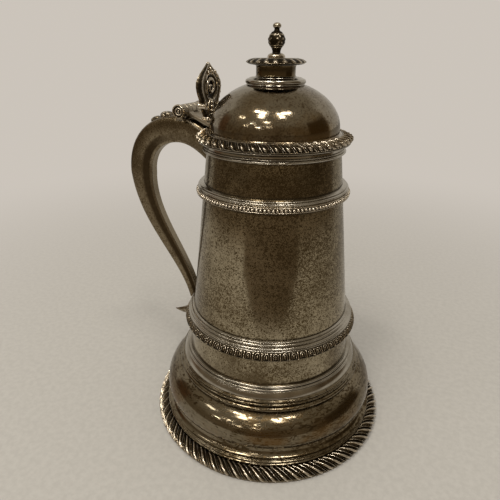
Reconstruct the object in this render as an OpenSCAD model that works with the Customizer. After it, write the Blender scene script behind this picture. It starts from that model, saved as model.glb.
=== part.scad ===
// Lidded silver tankard of lighthouse form, in millimetres.
// The axis of the barrel is Z, the table is z = 0 and the handle points along -X.

/* [Body] */
// Outside radius of the barrel where it stands on the foot
body_base_r = 54.4; // [50:0.1:58]
// Outside radius of the barrel at the mouth
mouth_r = 39.3; // [36:0.1:44]
// Height of the barrel from the foot to the mouth
body_h = 134; // [120:1:150]
// Sheet thickness of the barrel
body_wall = 0.9; // [0.7:0.1:1.6]
// Thickness of the floor plate
floor_t = 1; // [0.8:0.1:2]
// Height of the moulding round the mouth
mouth_moulding_h = 6.6; // [5:0.1:9]
// How far the mouth moulding stands out
mouth_moulding_w = 2.6; // [1.5:0.1:4]

/* [Girdles] */
// Height above the foot at which the two wires of the lower girdle meet
lower_girdle_rise = 23.4; // [18:0.1:32]
// Height of the reeded wire of the lower girdle
lower_reeds_h = 6; // [4:0.1:9]
// How far the lower reeds stand out
lower_reeds_w = 3; // [2:0.1:4]
// Height of the egg-and-dart wire
lower_border_h = 6.1; // [4.5:0.1:8]
// How far the egg-and-dart wire stands out
lower_border_w = 5.9; // [4:0.1:7]
// Number of eggs round the lower girdle
lower_eggs = 66; // [40:1:72]
// Depth of the cuts between the eggs
egg_cut = 1; // [0.4:0.1:1.6]
// Depth below the mouth at which the two wires of the upper girdle meet
upper_girdle_drop = 25.4; // [20:0.1:34]
// Height of the reeded wire of the upper girdle
upper_reeds_h = 3.4; // [2.5:0.1:6]
// How far the upper reeds stand out
upper_reeds_w = 3.4; // [2:0.1:4.5]
// Height of the beaded wire
upper_border_h = 6.2; // [4.5:0.1:8]
// How far the beaded wire stands out
upper_border_w = 5.6; // [4:0.1:7]
// Number of beads round the upper girdle
upper_beads = 130; // [90:1:140]
// Depth of the cuts between the beads
bead_cut = 0.8; // [0.3:0.1:1.2]

/* [Foot] */
// Height of the gadrooned rim above the table
foot_gadroon_h = 6.5; // [5:0.1:8]
// Width of the gadrooned rim beyond the plain band
foot_gadroon_w = 6.8; // [5:0.1:9]
// Number of gadroons round the foot
foot_gadroons = 68; // [40:1:76]
// Depth of the cuts between the gadroons of the foot
foot_gadroon_cut = 1.3; // [0.5:0.1:1.8]
// Thickness of the flat flange under the gadroons
foot_flange_t = 1.8; // [1.2:0.1:2.6]
// Height of the plain band above the gadroons
foot_band_h = 11.3; // [10:0.1:13]
// Height of the lowest fine step of the band
foot_step_h = 1.9; // [1:0.1:2.5]
// Depth of the fine steps of the band
foot_step = 0.5; // [0.3:0.1:1]
// Half height of the fine bead at the top of the band
foot_bead_r = 1.2; // [0.8:0.1:1.6]
// Height of the big ovolo
foot_ovolo_h = 20.2; // [17:0.1:26]
// How far the plain band stands out beyond the groove over the ovolo
foot_ovolo_out = 12.3; // [9:0.1:15]
// Half width of the ellipse that the ovolo follows
foot_ovolo_w = 18; // [15:0.1:24]
// Height of the ovolo's undercut lip
foot_lip_h = 4.7; // [3:0.1:6]
// Depth of the hollow between the lip and the band
foot_cove = 3.4; // [2:0.1:4.2]
// Height of the groove and bead over the ovolo
foot_neck_h = 8.4; // [7:0.1:11]
// How far the groove stands out beyond the foot of the barrel
foot_groove_out = 6.4; // [5.6:0.1:9]
// Sheet thickness of the foot
foot_wall = 0.8; // [0.6:0.1:1.4]
// Height of the cove and bead between barrel and foot
collar_h = 6.8; // [5:0.1:9]
// How far the bead on that collar stands out beyond the foot of the barrel
collar_out = 3; // [2.2:0.1:4.5]
// Sheet thickness of the collar
collar_wall = 2; // [1.4:0.1:2.6]
// Width of the flat seats above and below the collar
collar_seat = 2.4; // [1.6:0.1:3.4]

/* [Lid] */
// How far the gadrooned edge of the lid stands out beyond the barrel's mouth
lid_overhang = 6; // [4:0.1:8]
// Thickness of the flange that rests on the mouth
lid_flange_t = 1.6; // [1:0.1:2.4]
// Height of the gadrooned border above the flange
lid_gadroon_h = 5.2; // [4:0.1:7]
// Width of the gadrooned border
lid_gadroon_w = 5.8; // [4.5:0.1:7]
// Number of gadroons round the lid
lid_gadroons = 48; // [30:1:56]
// Depth of the cuts between the gadroons of the lid
lid_gadroon_cut = 1.1; // [0.4:0.1:1.6]
// Width of the flat ledge between the dome and the gadroons
dome_ledge = 1.9; // [1.6:0.1:4]
// Height of the straight side of the dome above the flange
dome_side_h = 7; // [4:0.1:12]
// Height of the curved part of the dome
dome_h = 26; // [22:0.1:32]
// Sheet thickness of the dome
dome_wall = 0.9; // [0.7:0.1:1.6]
// Depth of the locating ring below the flange
bezel_depth = 3.5; // [2:0.1:5]
// Sheet thickness of the locating ring
bezel_wall = 0.9; // [0.7:0.1:1.6]

/* [Lantern and finial] */
// Radius of the torus at the foot of the lantern
lantern_collar_r = 17; // [15:0.1:20]
// Height of the collar above the dome, measured at its torus
lantern_collar_h = 4.4; // [3.5:0.1:7]
// Outside radius of the lantern drum
drum_r = 11; // [9:0.1:12]
// Height of the lantern drum
drum_h = 6; // [4:0.1:10]
// Sheet thickness of the drum
drum_wall = 1; // [0.7:0.1:2]
// How far both ends of the drum flare out
drum_flare = 0.7; // [0.4:0.1:1.2]
// Height of those flares
drum_flare_h = 1.2; // [0.8:0.1:1.8]
// How far the plain plate of the gallery stands out beyond the drum
gallery_ledge = 1.9; // [1.3:0.1:3]
// Width of the gallery's border
gallery_w = 3.7; // [2.8:0.1:5]
// Height of the gallery
gallery_h = 3.5; // [2.5:0.1:5]
// Number of lobes round the gallery
gallery_lobes = 20; // [12:1:28]
// Depth of the cuts between the lobes
gallery_cut = 0.8; // [0.3:0.1:1.2]
// Radius of the finial's ball
ball_r = 4.6; // [3.5:0.1:6]
// Radius of the finial's base
finial_base_r = 4.9; // [4:0.1:6]
// Height of the finial's base
finial_base_h = 2.4; // [1.6:0.1:4]
// Radius of the neck under the ball
finial_neck_r = 2.2; // [1.6:0.1:3]
// Height of the neck under the ball
finial_neck_h = 1.3; // [0.8:0.1:3]
// Length of the stem between the ball and the knob
finial_stem_h = 1.1; // [0.6:0.1:3]
// Radius of the stem
finial_stem_r = 1.4; // [1:0.1:1.6]
// Radius of the knob on top
finial_knob_r = 2; // [1.8:0.1:2.6]
// Height of the knob
finial_knob_h = 3; // [2.4:0.1:4]
// Radius of the finial's stud
stud_r = 1.5; // [1:0.1:2]
// Width of the finial nut between its corners
nut_w = 8; // [6.5:0.1:10]
// Thickness of the finial nut
nut_t = 3; // [2:0.1:4]

/* [Hinge] */
// Distance of the hinge axis outside the edge of the lid
hinge_out = 10.9; // [9.5:0.1:15]
// Height of the hinge axis above the mouth
hinge_up = 16; // [15:0.1:20]
// Outside radius of the knuckles
knuckle_r = 3.7; // [3:0.1:4.4]
// Radius of the hinge pin
pin_r = 1.2; // [0.8:0.05:1.8]
// Length of the five knuckles together
barrel_l = 25; // [20:0.5:32]
// Thickness of the caps on the ends of the barrel
cap_t = 1.6; // [1:0.1:2.5]
// Thickness of the hinge plate on the handle
plate_t = 1.2; // [0.8:0.1:1.4]
// How far the hinge plate reaches back behind the hinge axis
plate_back = 4.4; // [3.6:0.1:6]
// Thickness of the lid's leaf
leaf_t = 1.7; // [1.2:0.1:2.4]
// Width of the lid's leaf
leaf_w = 15; // [12:0.5:19]

/* [Thumbpiece] */
// Distance of the thumbpiece from the dome
thumb_gap = 2.4; // [1.6:0.1:3.4]
// Height of the thumbpiece above its leaf
thumb_h = 36; // [32:0.5:40]
// Greatest width of the thumbpiece
thumb_w = 24.5; // [20:0.5:28]
// Greatest thickness of the thumbpiece
thumb_t = 4.4; // [3.6:0.1:5.4]
// Radius of the round hollow in each of its faces
thumb_hollow_r = 7; // [5:0.1:7.6]
// Depth of that hollow
thumb_hollow_t = 1; // [0.5:0.1:1.2]

/* [Handle] */
// Depth below the mouth at which the handle leaves the barrel
handle_root_drop = 8.9; // [7:0.1:12]
// Distance of the handle's crown beyond the hinge axis
handle_crown_out = 7.3; // [5:0.1:11]
// Distance of the handle's outermost centre line beyond the hinge axis
handle_out = 38.3; // [32:0.1:46]
// Depth below the mouth at which the handle reaches furthest
handle_reach_drop = 27; // [20:0.5:40]
// Thickness of the handle at its crown
handle_top_t = 16.5; // [14:0.1:18]
// Width of the handle at its crown
handle_top_w = 13; // [11:0.1:15]
// Thickness of the handle at the grip
handle_grip_t = 16.9; // [13:0.1:19]
// Width of the handle at the grip
handle_grip_w = 11.2; // [9:0.1:13]
// Thickness of the handle at its lower end
handle_end_t = 7.6; // [6.4:0.1:9]
// Width of the handle at its lower end
handle_end_w = 8; // [6.6:0.1:10]
// Width of the inner side of the handle at its crown
strap_top_w = 7; // [5.5:0.1:9]
// Width of the inner side of the handle at its lower end
strap_end_w = 4.8; // [4:0.1:6]
// Depth to which the handle's lower end is let into the lower girdle
handle_seat = 2.1; // [1:0.1:3]
// Sheet thickness of the handle
handle_wall = 1; // [0.8:0.1:1.6]
// How far the tail's point stands out beyond the lower end of the handle
tail_out = 17.3; // [12:0.1:22]
// Drop of the tail's point below the lower end of the handle
tail_drop = 20.2; // [16:0.1:24]
// Thickness of the tail where it leaves the handle
tail_root_t = 2.3; // [1.6:0.1:2.8]
// Thickness of the tail at its thickest
tail_t = 6.5; // [4.5:0.1:8]
// Radius of the larger drop on the handle's back
drop_r = 3.6; // [2.8:0.1:4.2]

/* [Fits] */
// Gap at soldered seats
fit = 0.05; // [0.02:0.01:0.1]
// Gap between the closed lid and the mouth
lid_gap = 0.2; // [0.1:0.05:0.4]
// Gap between the lid's edge and the handle
lid_clear = 0.7; // [0.4:0.1:1]
// Radial gap between the locating ring and the mouth
bezel_clear = 1.2; // [1:0.1:2]
// Running gap of the pin in its bores
pin_gap = 0.05; // [0.02:0.01:0.1]
// Gap between neighbouring knuckles
knuckle_gap = 0.3; // [0.2:0.05:0.5]
// Gap under the lid's knuckles
swing_gap = 0.7; // [0.4:0.1:1]
// Gap between the lid's leaf and the knuckles
knuckle_clear = 0.5; // [0.3:0.1:1]
// Gap between the drops and the back of the handle
drop_gap = 0.15; // [0.1:0.05:0.3]

/* [Hidden] */
$fn = 96;

// Colours of the tarnished silver
body_colour = "#857a68";
border_colour = "#a89a80";
hinge_colour = "#8f8676";
inner_colour = "#6f6656";

// Small insets of the cast borders: the flat underside is set in from the edge,
// and a plain core lies under the round face
heel = 0.9;
core = 0.6;
// Length by which shapes that are trimmed later overshoot
overcut = 4;

// Levels and radii of the foot
band_top_z = foot_gadroon_h + foot_band_h;
ovolo_top_z = band_top_z + foot_ovolo_h;
collar_z = ovolo_top_z + foot_neck_h;
foot_h = collar_z + collar_h;
groove_r = body_base_r + foot_groove_out;
band_r = groove_r + foot_ovolo_out;
foot_rim_r = band_r + foot_gadroon_w;
collar_r = body_base_r + collar_out;

// Levels and radii of the barrel and the lid
mouth_z = foot_h + body_h;
flange_z = mouth_z + lid_gap;
border_z = flange_z + lid_flange_t;
lid_edge_r = mouth_r + lid_overhang;
dome_z = border_z + dome_side_h;
dome_r = lid_edge_r - lid_gadroon_w - dome_ledge;
bezel_in_r = mouth_r - body_wall - bezel_clear - bezel_wall;
drum_in_r = drum_r - drum_wall;
gallery_plate_r = drum_r + gallery_ledge;
gallery_r = gallery_plate_r + gallery_w;
lower_seam_z = foot_h + lower_girdle_rise;
upper_seam_z = mouth_z - upper_girdle_drop;

// Outside radius of the barrel at height z
function body_r(z) = body_base_r + (mouth_r - body_base_r) * (z - foot_h) / body_h;

// Points of an ellipse arc about [cx, cy] from angle a0 to a1
function arc(cx, cy, rx, ry, a0, a1, steps) =
    [for (i = [0:steps]) let (a = a0 + (a1 - a0) * i / steps) [cx + rx * cos(a), cy + ry * sin(a)]];

// Point of a cubic curve with ends p, s and controls q, r
function cubic(p, q, r, s, t) =
    p * pow(1 - t, 3) + q * 3 * t * pow(1 - t, 2) + r * 3 * t * t * (1 - t) + s * pow(t, 3);
function cubic_way(p, q, r, s, t) =
    (q - p) * pow(1 - t, 2) + (r - q) * 2 * t * (1 - t) + (s - r) * t * t;
function unit(v) = v / norm(v);

// Shape of one lobe over its pitch: 0 in the valley, 1 on the crest
function lobe(phase) = abs(sin(180 * phase));

// A ring with lobes cut into its convex face.
// The face is an ellipse arc about [cx, cz], from a0 at its top to a1 at its foot,
// and back lists the corners that close the section from the foot to the top.
module lobed_ring(cx, cz, rx, rz, a0, a1, steps, back, lobes, samples, cut, slant) {
    turns = round(lobes) * samples;
    across = steps + 1 + len(back);
    points = [for (i = [0:turns - 1]) for (j = [0:across - 1])
        let (u = min(j / steps, 1))
        let (a = a0 + (a1 - a0) * u)
        let (fade = j > steps ? 0 : sin(180 * (0.15 + 0.7 * u)))
        let (depth = cut * (1 - lobe(i / samples - slant * u)) * fade)
        let (flat = j > steps ? back[j - steps - 1]
            : [cx + (rx - depth) * cos(a), cz + (rz - depth) * sin(a)])
        let (turn = 360 * i / turns)
        [flat[0] * cos(turn), flat[0] * sin(turn), flat[1]]];
    faces = [for (i = [0:turns - 1]) for (j = [0:across - 1]) for (half = [0, 1])
        let (p = i * across + j)
        let (q = i * across + (j + 1) % across)
        let (r = ((i + 1) % turns) * across + (j + 1) % across)
        let (s = ((i + 1) % turns) * across + j)
        half == 0 ? [p, r, q] : [p, s, r]];
    polyhedron(points, faces);
}

// A solid swept along a line in the handle's plane.
// Each ring is [centre, way, section], with the section's points as [sideways, outwards],
// and caps lists the convex pieces that close a ring, as indices of its points.
module sweep(rings, caps) {
    sides = len(rings[0][2]);
    last = len(rings) - 1;
    points = [for (ring = rings) for (p = ring[2])
        let (out = [ring[1][1], -ring[1][0]])
        let (at = ring[0] + out * p[1])
        [-at[0], p[0], at[1]]];
    walls = [for (i = [0:last - 1]) for (j = [0:sides - 1]) for (half = [0, 1])
        let (p = i * sides + j)
        let (q = i * sides + (j + 1) % sides)
        half == 0 ? [p, q + sides, q] : [p, p + sides, q + sides]];
    start = caps;
    end = [for (cap = caps) [for (k = [len(cap) - 1:-1:0]) last * sides + cap[k]]];
    polyhedron(points, concat(start, walls, end));
}

// An outline in the handle's plane, given as [distance from the axis, height], made w wide
module side_plate(w) {
    rotate([90, 0, 180])
        translate([0, 0, -w / 2])
            linear_extrude(w)
                children();
}

// Body of the tankard

module body_barrel() {
    color(body_colour)
        rotate_extrude()
            polygon([[body_base_r - body_wall, foot_h], [body_base_r, foot_h], [mouth_r, mouth_z],
                [mouth_r - body_wall, mouth_z]]);
}

module body_floor() {
    floor_top_r = body_r(foot_h + floor_t) - body_wall - fit;
    color(inner_colour)
        rotate_extrude()
            polygon([[0, foot_h], [floor_top_r, foot_h], [floor_top_r, foot_h + floor_t],
                [0, foot_h + floor_t]]);
}

// Section of a moulding that lies against the barrel between two heights
module against_barrel(z0, z1, out) {
    polygon([[body_r(z0) + fit, z0], [body_r(z0) + out, z0], [body_r(z1) + out, z1],
        [body_r(z1) + fit, z1]]);
}

// Half-round reed on the barrel, centred at height z
module reed(z, out, r) {
    translate([body_r(z) + out - r, z])
        circle(r);
}

mouth_moulding_z = mouth_z - mouth_moulding_h;
mouth_moulding_r = body_r(mouth_z - mouth_moulding_h / 2) + mouth_moulding_w;
module mouth_moulding() {
    color(border_colour)
        rotate_extrude() {
            against_barrel(mouth_moulding_z, mouth_z, mouth_moulding_w * 0.45);
            reed(mouth_z - mouth_moulding_h * 0.4, mouth_moulding_w, mouth_moulding_w * 0.46);
            reed(mouth_z - mouth_moulding_h * 0.8, mouth_moulding_w * 0.7, mouth_moulding_w * 0.3);
        }
}

// Outermost radius of the handle's seat on the lower reeds
lower_reeds_top_z = lower_seam_z + lower_reeds_h;
lower_reeds_r = body_r(lower_seam_z) + lower_reeds_w;
lower_border_r = body_r(lower_seam_z - lower_border_h * 0.4) + lower_border_w;

module lower_girdle() {
    color(border_colour)
        rotate_extrude() {
            against_barrel(lower_seam_z, lower_reeds_top_z, lower_reeds_w * 0.4);
            reed(lower_seam_z + lower_reeds_h * 0.25, lower_reeds_w, lower_reeds_w * 0.4);
            reed(lower_seam_z + lower_reeds_h * 0.65, lower_reeds_w * 0.8, lower_reeds_w * 0.3);
        }
}

module upper_girdle() {
    color(border_colour)
        rotate_extrude() {
            against_barrel(upper_seam_z, upper_seam_z + upper_reeds_h, upper_reeds_w * 0.35);
            reed(upper_seam_z + upper_reeds_h * 0.4, upper_reeds_w, upper_reeds_w * 0.36);
        }
}

// Carved wire round the barrel, below the seam at height z
module carved_wire(seam_z, h, out, steps, lobes, samples, cut) {
    foot_z = seam_z - h;
    inner_top = body_r(seam_z) + fit;
    inner_foot = body_r(foot_z) + fit;
    centre_r = inner_foot + out * 0.25;
    centre_z = foot_z + h * 0.6;
    lobed_ring(centre_r, centre_z, out * 0.75 - fit, h * 0.5, 52, -100, steps,
        [[inner_foot, foot_z], [inner_top, seam_z]],
        lobes, samples, cut, 0);
}

module lower_girdle_border() {
    color(border_colour)
        carved_wire(lower_seam_z, lower_border_h, lower_border_w, 4, lower_eggs, 3, egg_cut);
}

module upper_girdle_beads() {
    color(border_colour)
        carved_wire(upper_seam_z, upper_border_h, upper_border_w, 2, upper_beads, 2, bead_cut);
}

// Foot

collar_foot_r = groove_r - foot_step;
collar_foot_in_r = collar_foot_r - collar_seat;
module foot_collar() {
    bead_r = collar_h * 0.22;
    cove_r = collar_h * 0.5;
    cove_z = collar_z + collar_h * 0.56;
    back_r = collar_r - bead_r;
    top_in_r = body_base_r - body_wall - collar_seat;
    top_foot_z = foot_h - collar_wall * 0.7;
    color(border_colour)
        rotate_extrude()
            difference() {
                union() {
                    polygon([[collar_foot_in_r, collar_z], [collar_foot_r, collar_z],
                        [collar_foot_r, collar_z + collar_h * 0.12], [back_r, cove_z], [back_r, foot_h],
                        [top_in_r, foot_h], [top_in_r, top_foot_z], [back_r - collar_wall, top_foot_z]]);
                    translate([back_r, foot_h - collar_h * 0.28])
                        circle(bead_r);
                }
                translate([collar_r + cove_r * 0.75, cove_z])
                    circle(cove_r);
            }
}

// From the rim upwards: a reed, a hollow, the ovolo with its undercut lip, a bead and a plain neck
lip_end = 60;
module foot_dome() {
    reed_z = foot_gadroon_h + foot_step_h + foot_bead_r;
    reed_out = foot_bead_r * 0.4;
    edge_r = band_r + foot_step;
    edge_z = reed_z + foot_bead_r + foot_step;
    cove_r = edge_r - foot_cove;
    ovolo_r = band_r - 2 * foot_step;
    ovolo_z = band_top_z + foot_lip_h;
    lip_w = (ovolo_r - cove_r) / (1 - cos(lip_end));
    ovolo_in = ovolo_r - foot_ovolo_w;
    ovolo_end = acos((groove_r - ovolo_in) / foot_ovolo_w);
    ovolo_ry = (ovolo_top_z - ovolo_z) / sin(ovolo_end);
    neck_r = groove_r - foot_step;
    neck_bead_r = foot_neck_h * 0.25;
    outside = concat(
        [[foot_rim_r - heel, 0], [foot_rim_r - heel, foot_flange_t], [band_r, foot_flange_t]],
        arc(band_r - reed_out, reed_z, 2 * reed_out, foot_bead_r, -90, 90, 6),
        [[edge_r, edge_z - foot_step / 2]],
        arc(edge_r, band_top_z, foot_cove, band_top_z - edge_z, 270, 185, 7),
        arc(ovolo_r - lip_w, ovolo_z, lip_w, foot_lip_h / sin(lip_end), -lip_end, -10, 5),
        arc(ovolo_in, ovolo_z, foot_ovolo_w, ovolo_ry, 0, ovolo_end, 14),
        arc(neck_r, ovolo_top_z + neck_bead_r * 1.4, neck_bead_r * 1.2, neck_bead_r, -90, 90, 8),
        [[neck_r, collar_z]]);
    inside = concat(
        [[neck_r - foot_wall, collar_z - foot_wall], [neck_r - foot_wall, ovolo_top_z - foot_wall]],
        [for (p = arc(ovolo_in, ovolo_z, foot_ovolo_w, ovolo_ry, ovolo_end, 0, 14))
            p - [foot_wall, foot_wall]],
        [[cove_r - foot_wall, band_top_z], [cove_r - foot_wall, 0]]);
    seat = [[collar_foot_in_r, collar_z], [collar_foot_in_r, collar_z - foot_wall]];
    color(body_colour)
        rotate_extrude()
            polygon(concat(outside, seat, inside));
}

module foot_gadroon() {
    inner_r = band_r + fit;
    centre_r = inner_r + core;
    centre_z = foot_flange_t + core;
    color(border_colour)
        lobed_ring(centre_r, centre_z, foot_rim_r - centre_r, foot_gadroon_h - centre_z, 96, -8, 4,
            [[foot_rim_r - heel, foot_flange_t], [inner_r, foot_flange_t]],
            foot_gadroons, 4, foot_gadroon_cut, 0.9);
}

// Handle

hinge_x = lid_edge_r + hinge_out;
hinge_z = mouth_z + hinge_up;
plate_top_z = hinge_z - knuckle_r - swing_gap;
plate_z = plate_top_z - plate_t;
// Depth of the handle's crown that is cut away for the hinge plate
crown_cut = 1.95;
crown = [hinge_x + handle_crown_out, plate_z + crown_cut - handle_top_t / 2];
// The sweep starts inside the barrel's wall and is trimmed to it
root = [mouth_r - body_wall - overcut / 2, mouth_z - handle_root_drop];
grip = [hinge_x + handle_out, mouth_z - handle_reach_drop];
// The lower end lies just under the seam of the lower girdle
end_below_seam = 1.7;
end = [lower_border_r - handle_seat + handle_end_t / 2, lower_seam_z - end_below_seam];

// Centre line of the handle in three cubic curves: root to crown, crown to grip, grip to lower end.
// Each lead is the way from an end of a curve to its control.
root_lead = [9.4, 8.6];
crown_lead_in = 9;
crown_lead_out = 16.3;
grip_lead_up = 20.4;
grip_lead_down = 35;
end_lead = [5.5, 30.3];
handle_curves = [
    [root, root + root_lead, crown - [crown_lead_in, 0], crown],
    [crown, crown + [crown_lead_out, 0], grip + [0, grip_lead_up], grip],
    [grip, grip - [0, grip_lead_down], end + end_lead, end]];
handle_thick = [handle_top_t, handle_top_t, handle_grip_t, handle_end_t];
handle_wide = [handle_top_w, handle_top_w, handle_grip_w, handle_end_w];
strap_wide = [strap_top_w, strap_top_w, (strap_top_w + strap_end_w) / 2, strap_end_w];
curve_steps = 10;
end_way = unit(handle_curves[2][3] - handle_curves[2][2]);
end_out = [-end_way[1], end_way[0]];

// Outline of the handle's section: a round back of width w that narrows to an inner side of width s
// over the thickness t. The straight sides touch the round, and d draws the outline in.
function keystone(w, s, t, d) =
    let (r = w / 2)
    let (corner = [s / 2, -t / 2])
    let (centre = [0, t / 2 - r])
    let (side = corner - centre)
    let (touch = atan2(side[1], side[0]) + acos(r / norm(side)))
    let (thin = d / cos(touch))
    concat([[-s / 2 + thin, -t / 2]],
        [for (i = [0:8])
            let (a = 180 - touch - (180 - 2 * touch) * i / 8) centre + (r - d) * [cos(a), sin(a)]],
        [[s / 2 - thin, -t / 2]]);
channel_last = 10;
function channel(w, s, t) = concat(keystone(w, s, t, 0),
    [for (i = [channel_last:-1:0]) keystone(w, s, t, handle_wall)[i]]);
channel_caps = [for (j = [0:channel_last - 1])
    [j, j + 1, 2 * channel_last - j, 2 * channel_last + 1 - j]];
// The strap lies between the two edges of the channel
function strap_outline(w, s, t) = let (edge = keystone(w, s, t, handle_wall)[channel_last][0] - fit)
    [[-edge, -t / 2], [-edge, -t / 2 + handle_wall], [edge, -t / 2 + handle_wall], [edge, -t / 2]];

// Size at share t between two places of the handle: it falls off faster at first
function between(sizes, k, t) = sizes[k] + (sizes[k + 1] - sizes[k]) * pow(t, 0.8);

// Rings along the handle, of its channel or of its strap
function handle_rings(of_strap) = [for (k = [0:2]) for (i = [(k == 0 ? 0 : 1):curve_steps])
    let (t = i / curve_steps)
    let (c = handle_curves[k])
    let (thick = between(handle_thick, k, t))
    let (wide = between(handle_wide, k, t))
    let (strap = between(strap_wide, k, t))
    let (way = unit(cubic_way(c[0], c[1], c[2], c[3], t)))
    [cubic(c[0], c[1], c[2], c[3], t), way * -1,
        of_strap ? strap_outline(wide, strap, thick) : channel(wide, strap, thick)]];

// Space that the handle leaves to the barrel, its mouldings and the lid
module barrel_space() {
    rotate_extrude()
        polygon([[0, lower_seam_z - lower_border_h], [lower_border_r + fit, lower_seam_z - lower_border_h],
            [lower_border_r + fit, lower_seam_z], [lower_reeds_r + fit, lower_seam_z],
            [lower_reeds_r + fit, lower_reeds_top_z + fit],
            [body_r(lower_reeds_top_z) + fit, lower_reeds_top_z + fit],
            [body_r(mouth_moulding_z) + fit, mouth_moulding_z - fit],
            [mouth_moulding_r + fit, mouth_moulding_z - fit], [mouth_moulding_r + fit, mouth_z],
            [lid_edge_r + lid_clear, mouth_z], [lid_edge_r + lid_clear, hinge_z], [0, hinge_z]]);
}

// Lower side of the hinge plate: a slope down to the lid, and a level seat under the knuckles.
// The slope meets the level seat just inside the hinge axis.
slope_x = hinge_x - plate_t / 3;
slope_rise = 0.64;
function slope_z(x) = plate_z + (x - slope_x) * slope_rise;
plate_end_x = hinge_x + plate_back;
plate_start_x = lid_edge_r - overcut;
module plate_space() {
    side_plate(handle_top_w + overcut)
        polygon([[plate_start_x, slope_z(plate_start_x)], [slope_x, plate_z], [plate_end_x, plate_z],
            [plate_end_x, hinge_z], [plate_start_x, hinge_z]]);
}

module handle_shell() {
    color(body_colour)
        difference() {
            sweep(handle_rings(false), channel_caps);
            barrel_space();
            plate_space();
        }
}

module handle_strap() {
    color(inner_colour)
        difference() {
            sweep(handle_rings(true), [[0, 1, 2, 3]]);
            barrel_space();
        }
}

// The tail leaves the lower end of the handle outside the egg-and-dart wire, swells and ends in a point
tail_root = end + end_out * (handle_end_t - tail_root_t) / 2;
tail_tip = end + [tail_out, -tail_drop];
tail_lead = 5;
tail_belly = [0.4, -0.3];
tail_point = 0.5;
tail_curve = [tail_root + end_way * fit, tail_root + end_way * tail_lead,
    [tail_root[0], tail_tip[1]] + tail_belly, tail_tip];
tail_steps = 10;
tail_sides = 12;
// Share of the swelling at place t along the tail: 0 at both ends and 1 at its fullest
function swell(t) = 6.75 * t * t * (1 - t);
function tail_outline(t) =
    let (thick = tail_root_t * (1 - t) + tail_point * t + (tail_t - tail_root_t / 2) * swell(t))
    let (wide = handle_end_w * (1 - pow(t, 3)) + tail_point * t)
    [for (i = [0:tail_sides - 1]) let (a = 360 * i / tail_sides) [-wide / 2 * cos(a), thick / 2 * sin(a)]];
module handle_tail() {
    color(border_colour)
        sweep([for (i = [0:tail_steps])
            let (t = i / tail_steps)
            let (c = tail_curve)
            [cubic(c[0], c[1], c[2], c[3], t),
                unit(cubic_way(c[0], c[1], c[2], c[3], t)) * -1, tail_outline(t)]],
            [[for (i = [0:tail_sides - 1]) i]]);
}

// Graduated drops on the back of the handle, hollowed to sit on its round
// Place of each drop along the curve from crown to grip, and its size as a share of the larger one
drops = [[0.17, 1], [0.33, 0.66]];
module handle_drops() {
    c = handle_curves[1];
    color(border_colour)
        for (drop = drops) {
            t = drop[0];
            way = unit(cubic_way(c[0], c[1], c[2], c[3], t));
            round_r = between(handle_wide, 1, t) / 2;
            axis = cubic(c[0], c[1], c[2], c[3], t)
                + [-way[1], way[0]] * (between(handle_thick, 1, t) / 2 - round_r);
            translate([-axis[0], 0, axis[1]])
                rotate([0, atan2(way[1], way[0]), 0])
                    difference() {
                        translate([0, 0, round_r])
                            sphere(drop_r * drop[1]);
                        rotate([0, 90, 0])
                            cylinder(r = round_r + drop_gap, h = 4 * drop_r, center = true);
                    }
        }
}

// Hinge

pitch = barrel_l / 5;
// Tube of knuckle number k, counted from the near end
module knuckle(k) {
    translate([-hinge_x, (k - 2) * pitch - (pitch - knuckle_gap) / 2, hinge_z])
        rotate([-90, 0, 0])
            cylinder(r = knuckle_r, h = pitch - knuckle_gap);
}

module pin_bore() {
    translate([-hinge_x, -barrel_l, hinge_z])
        rotate([-90, 0, 0])
            cylinder(r = pin_r + pin_gap, h = 2 * barrel_l);
}

module handle_hinge_plate() {
    web = knuckle_r * 1.1;
    rail = web + 2 * core;
    color(hinge_colour)
        difference() {
            union() {
                difference() {
                    side_plate(handle_top_w)
                        polygon([[plate_start_x, slope_z(plate_start_x)], [slope_x, plate_z],
                            [plate_end_x, plate_z], [plate_end_x, plate_top_z],
                            [slope_x - plate_t * 0.35, plate_top_z],
                            [plate_start_x, slope_z(plate_start_x) + plate_t * 1.2]]);
                    barrel_space();
                }
                translate([-hinge_x - rail / 2, -barrel_l / 2 + knuckle_gap / 2, plate_z])
                    cube([rail, barrel_l - knuckle_gap, plate_t]);
                for (k = [0, 2, 4]) {
                    knuckle(k);
                    translate([-hinge_x - web / 2, (k - 2) * pitch - (pitch - knuckle_gap) / 2, plate_z])
                        cube([web, pitch - knuckle_gap, knuckle_r + swing_gap + plate_t]);
                }
            }
            pin_bore();
        }
}

module hinge_pin() {
    color(hinge_colour)
        translate([-hinge_x, -barrel_l / 2, hinge_z])
            rotate([-90, 0, 0])
                cylinder(r = pin_r, h = barrel_l);
}

// Rimmed disc on each end of the knuckles
module hinge_caps() {
    color(border_colour)
        for (side = [-1, 1])
            translate([-hinge_x, side * barrel_l / 2, hinge_z])
                rotate([-90 * side, 0, 0])
                    rotate_extrude()
                        difference() {
                            square([knuckle_r, cap_t]);
                            translate([knuckle_r * 0.55, cap_t])
                                circle(cap_t * 0.45);
                        }
}

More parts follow.
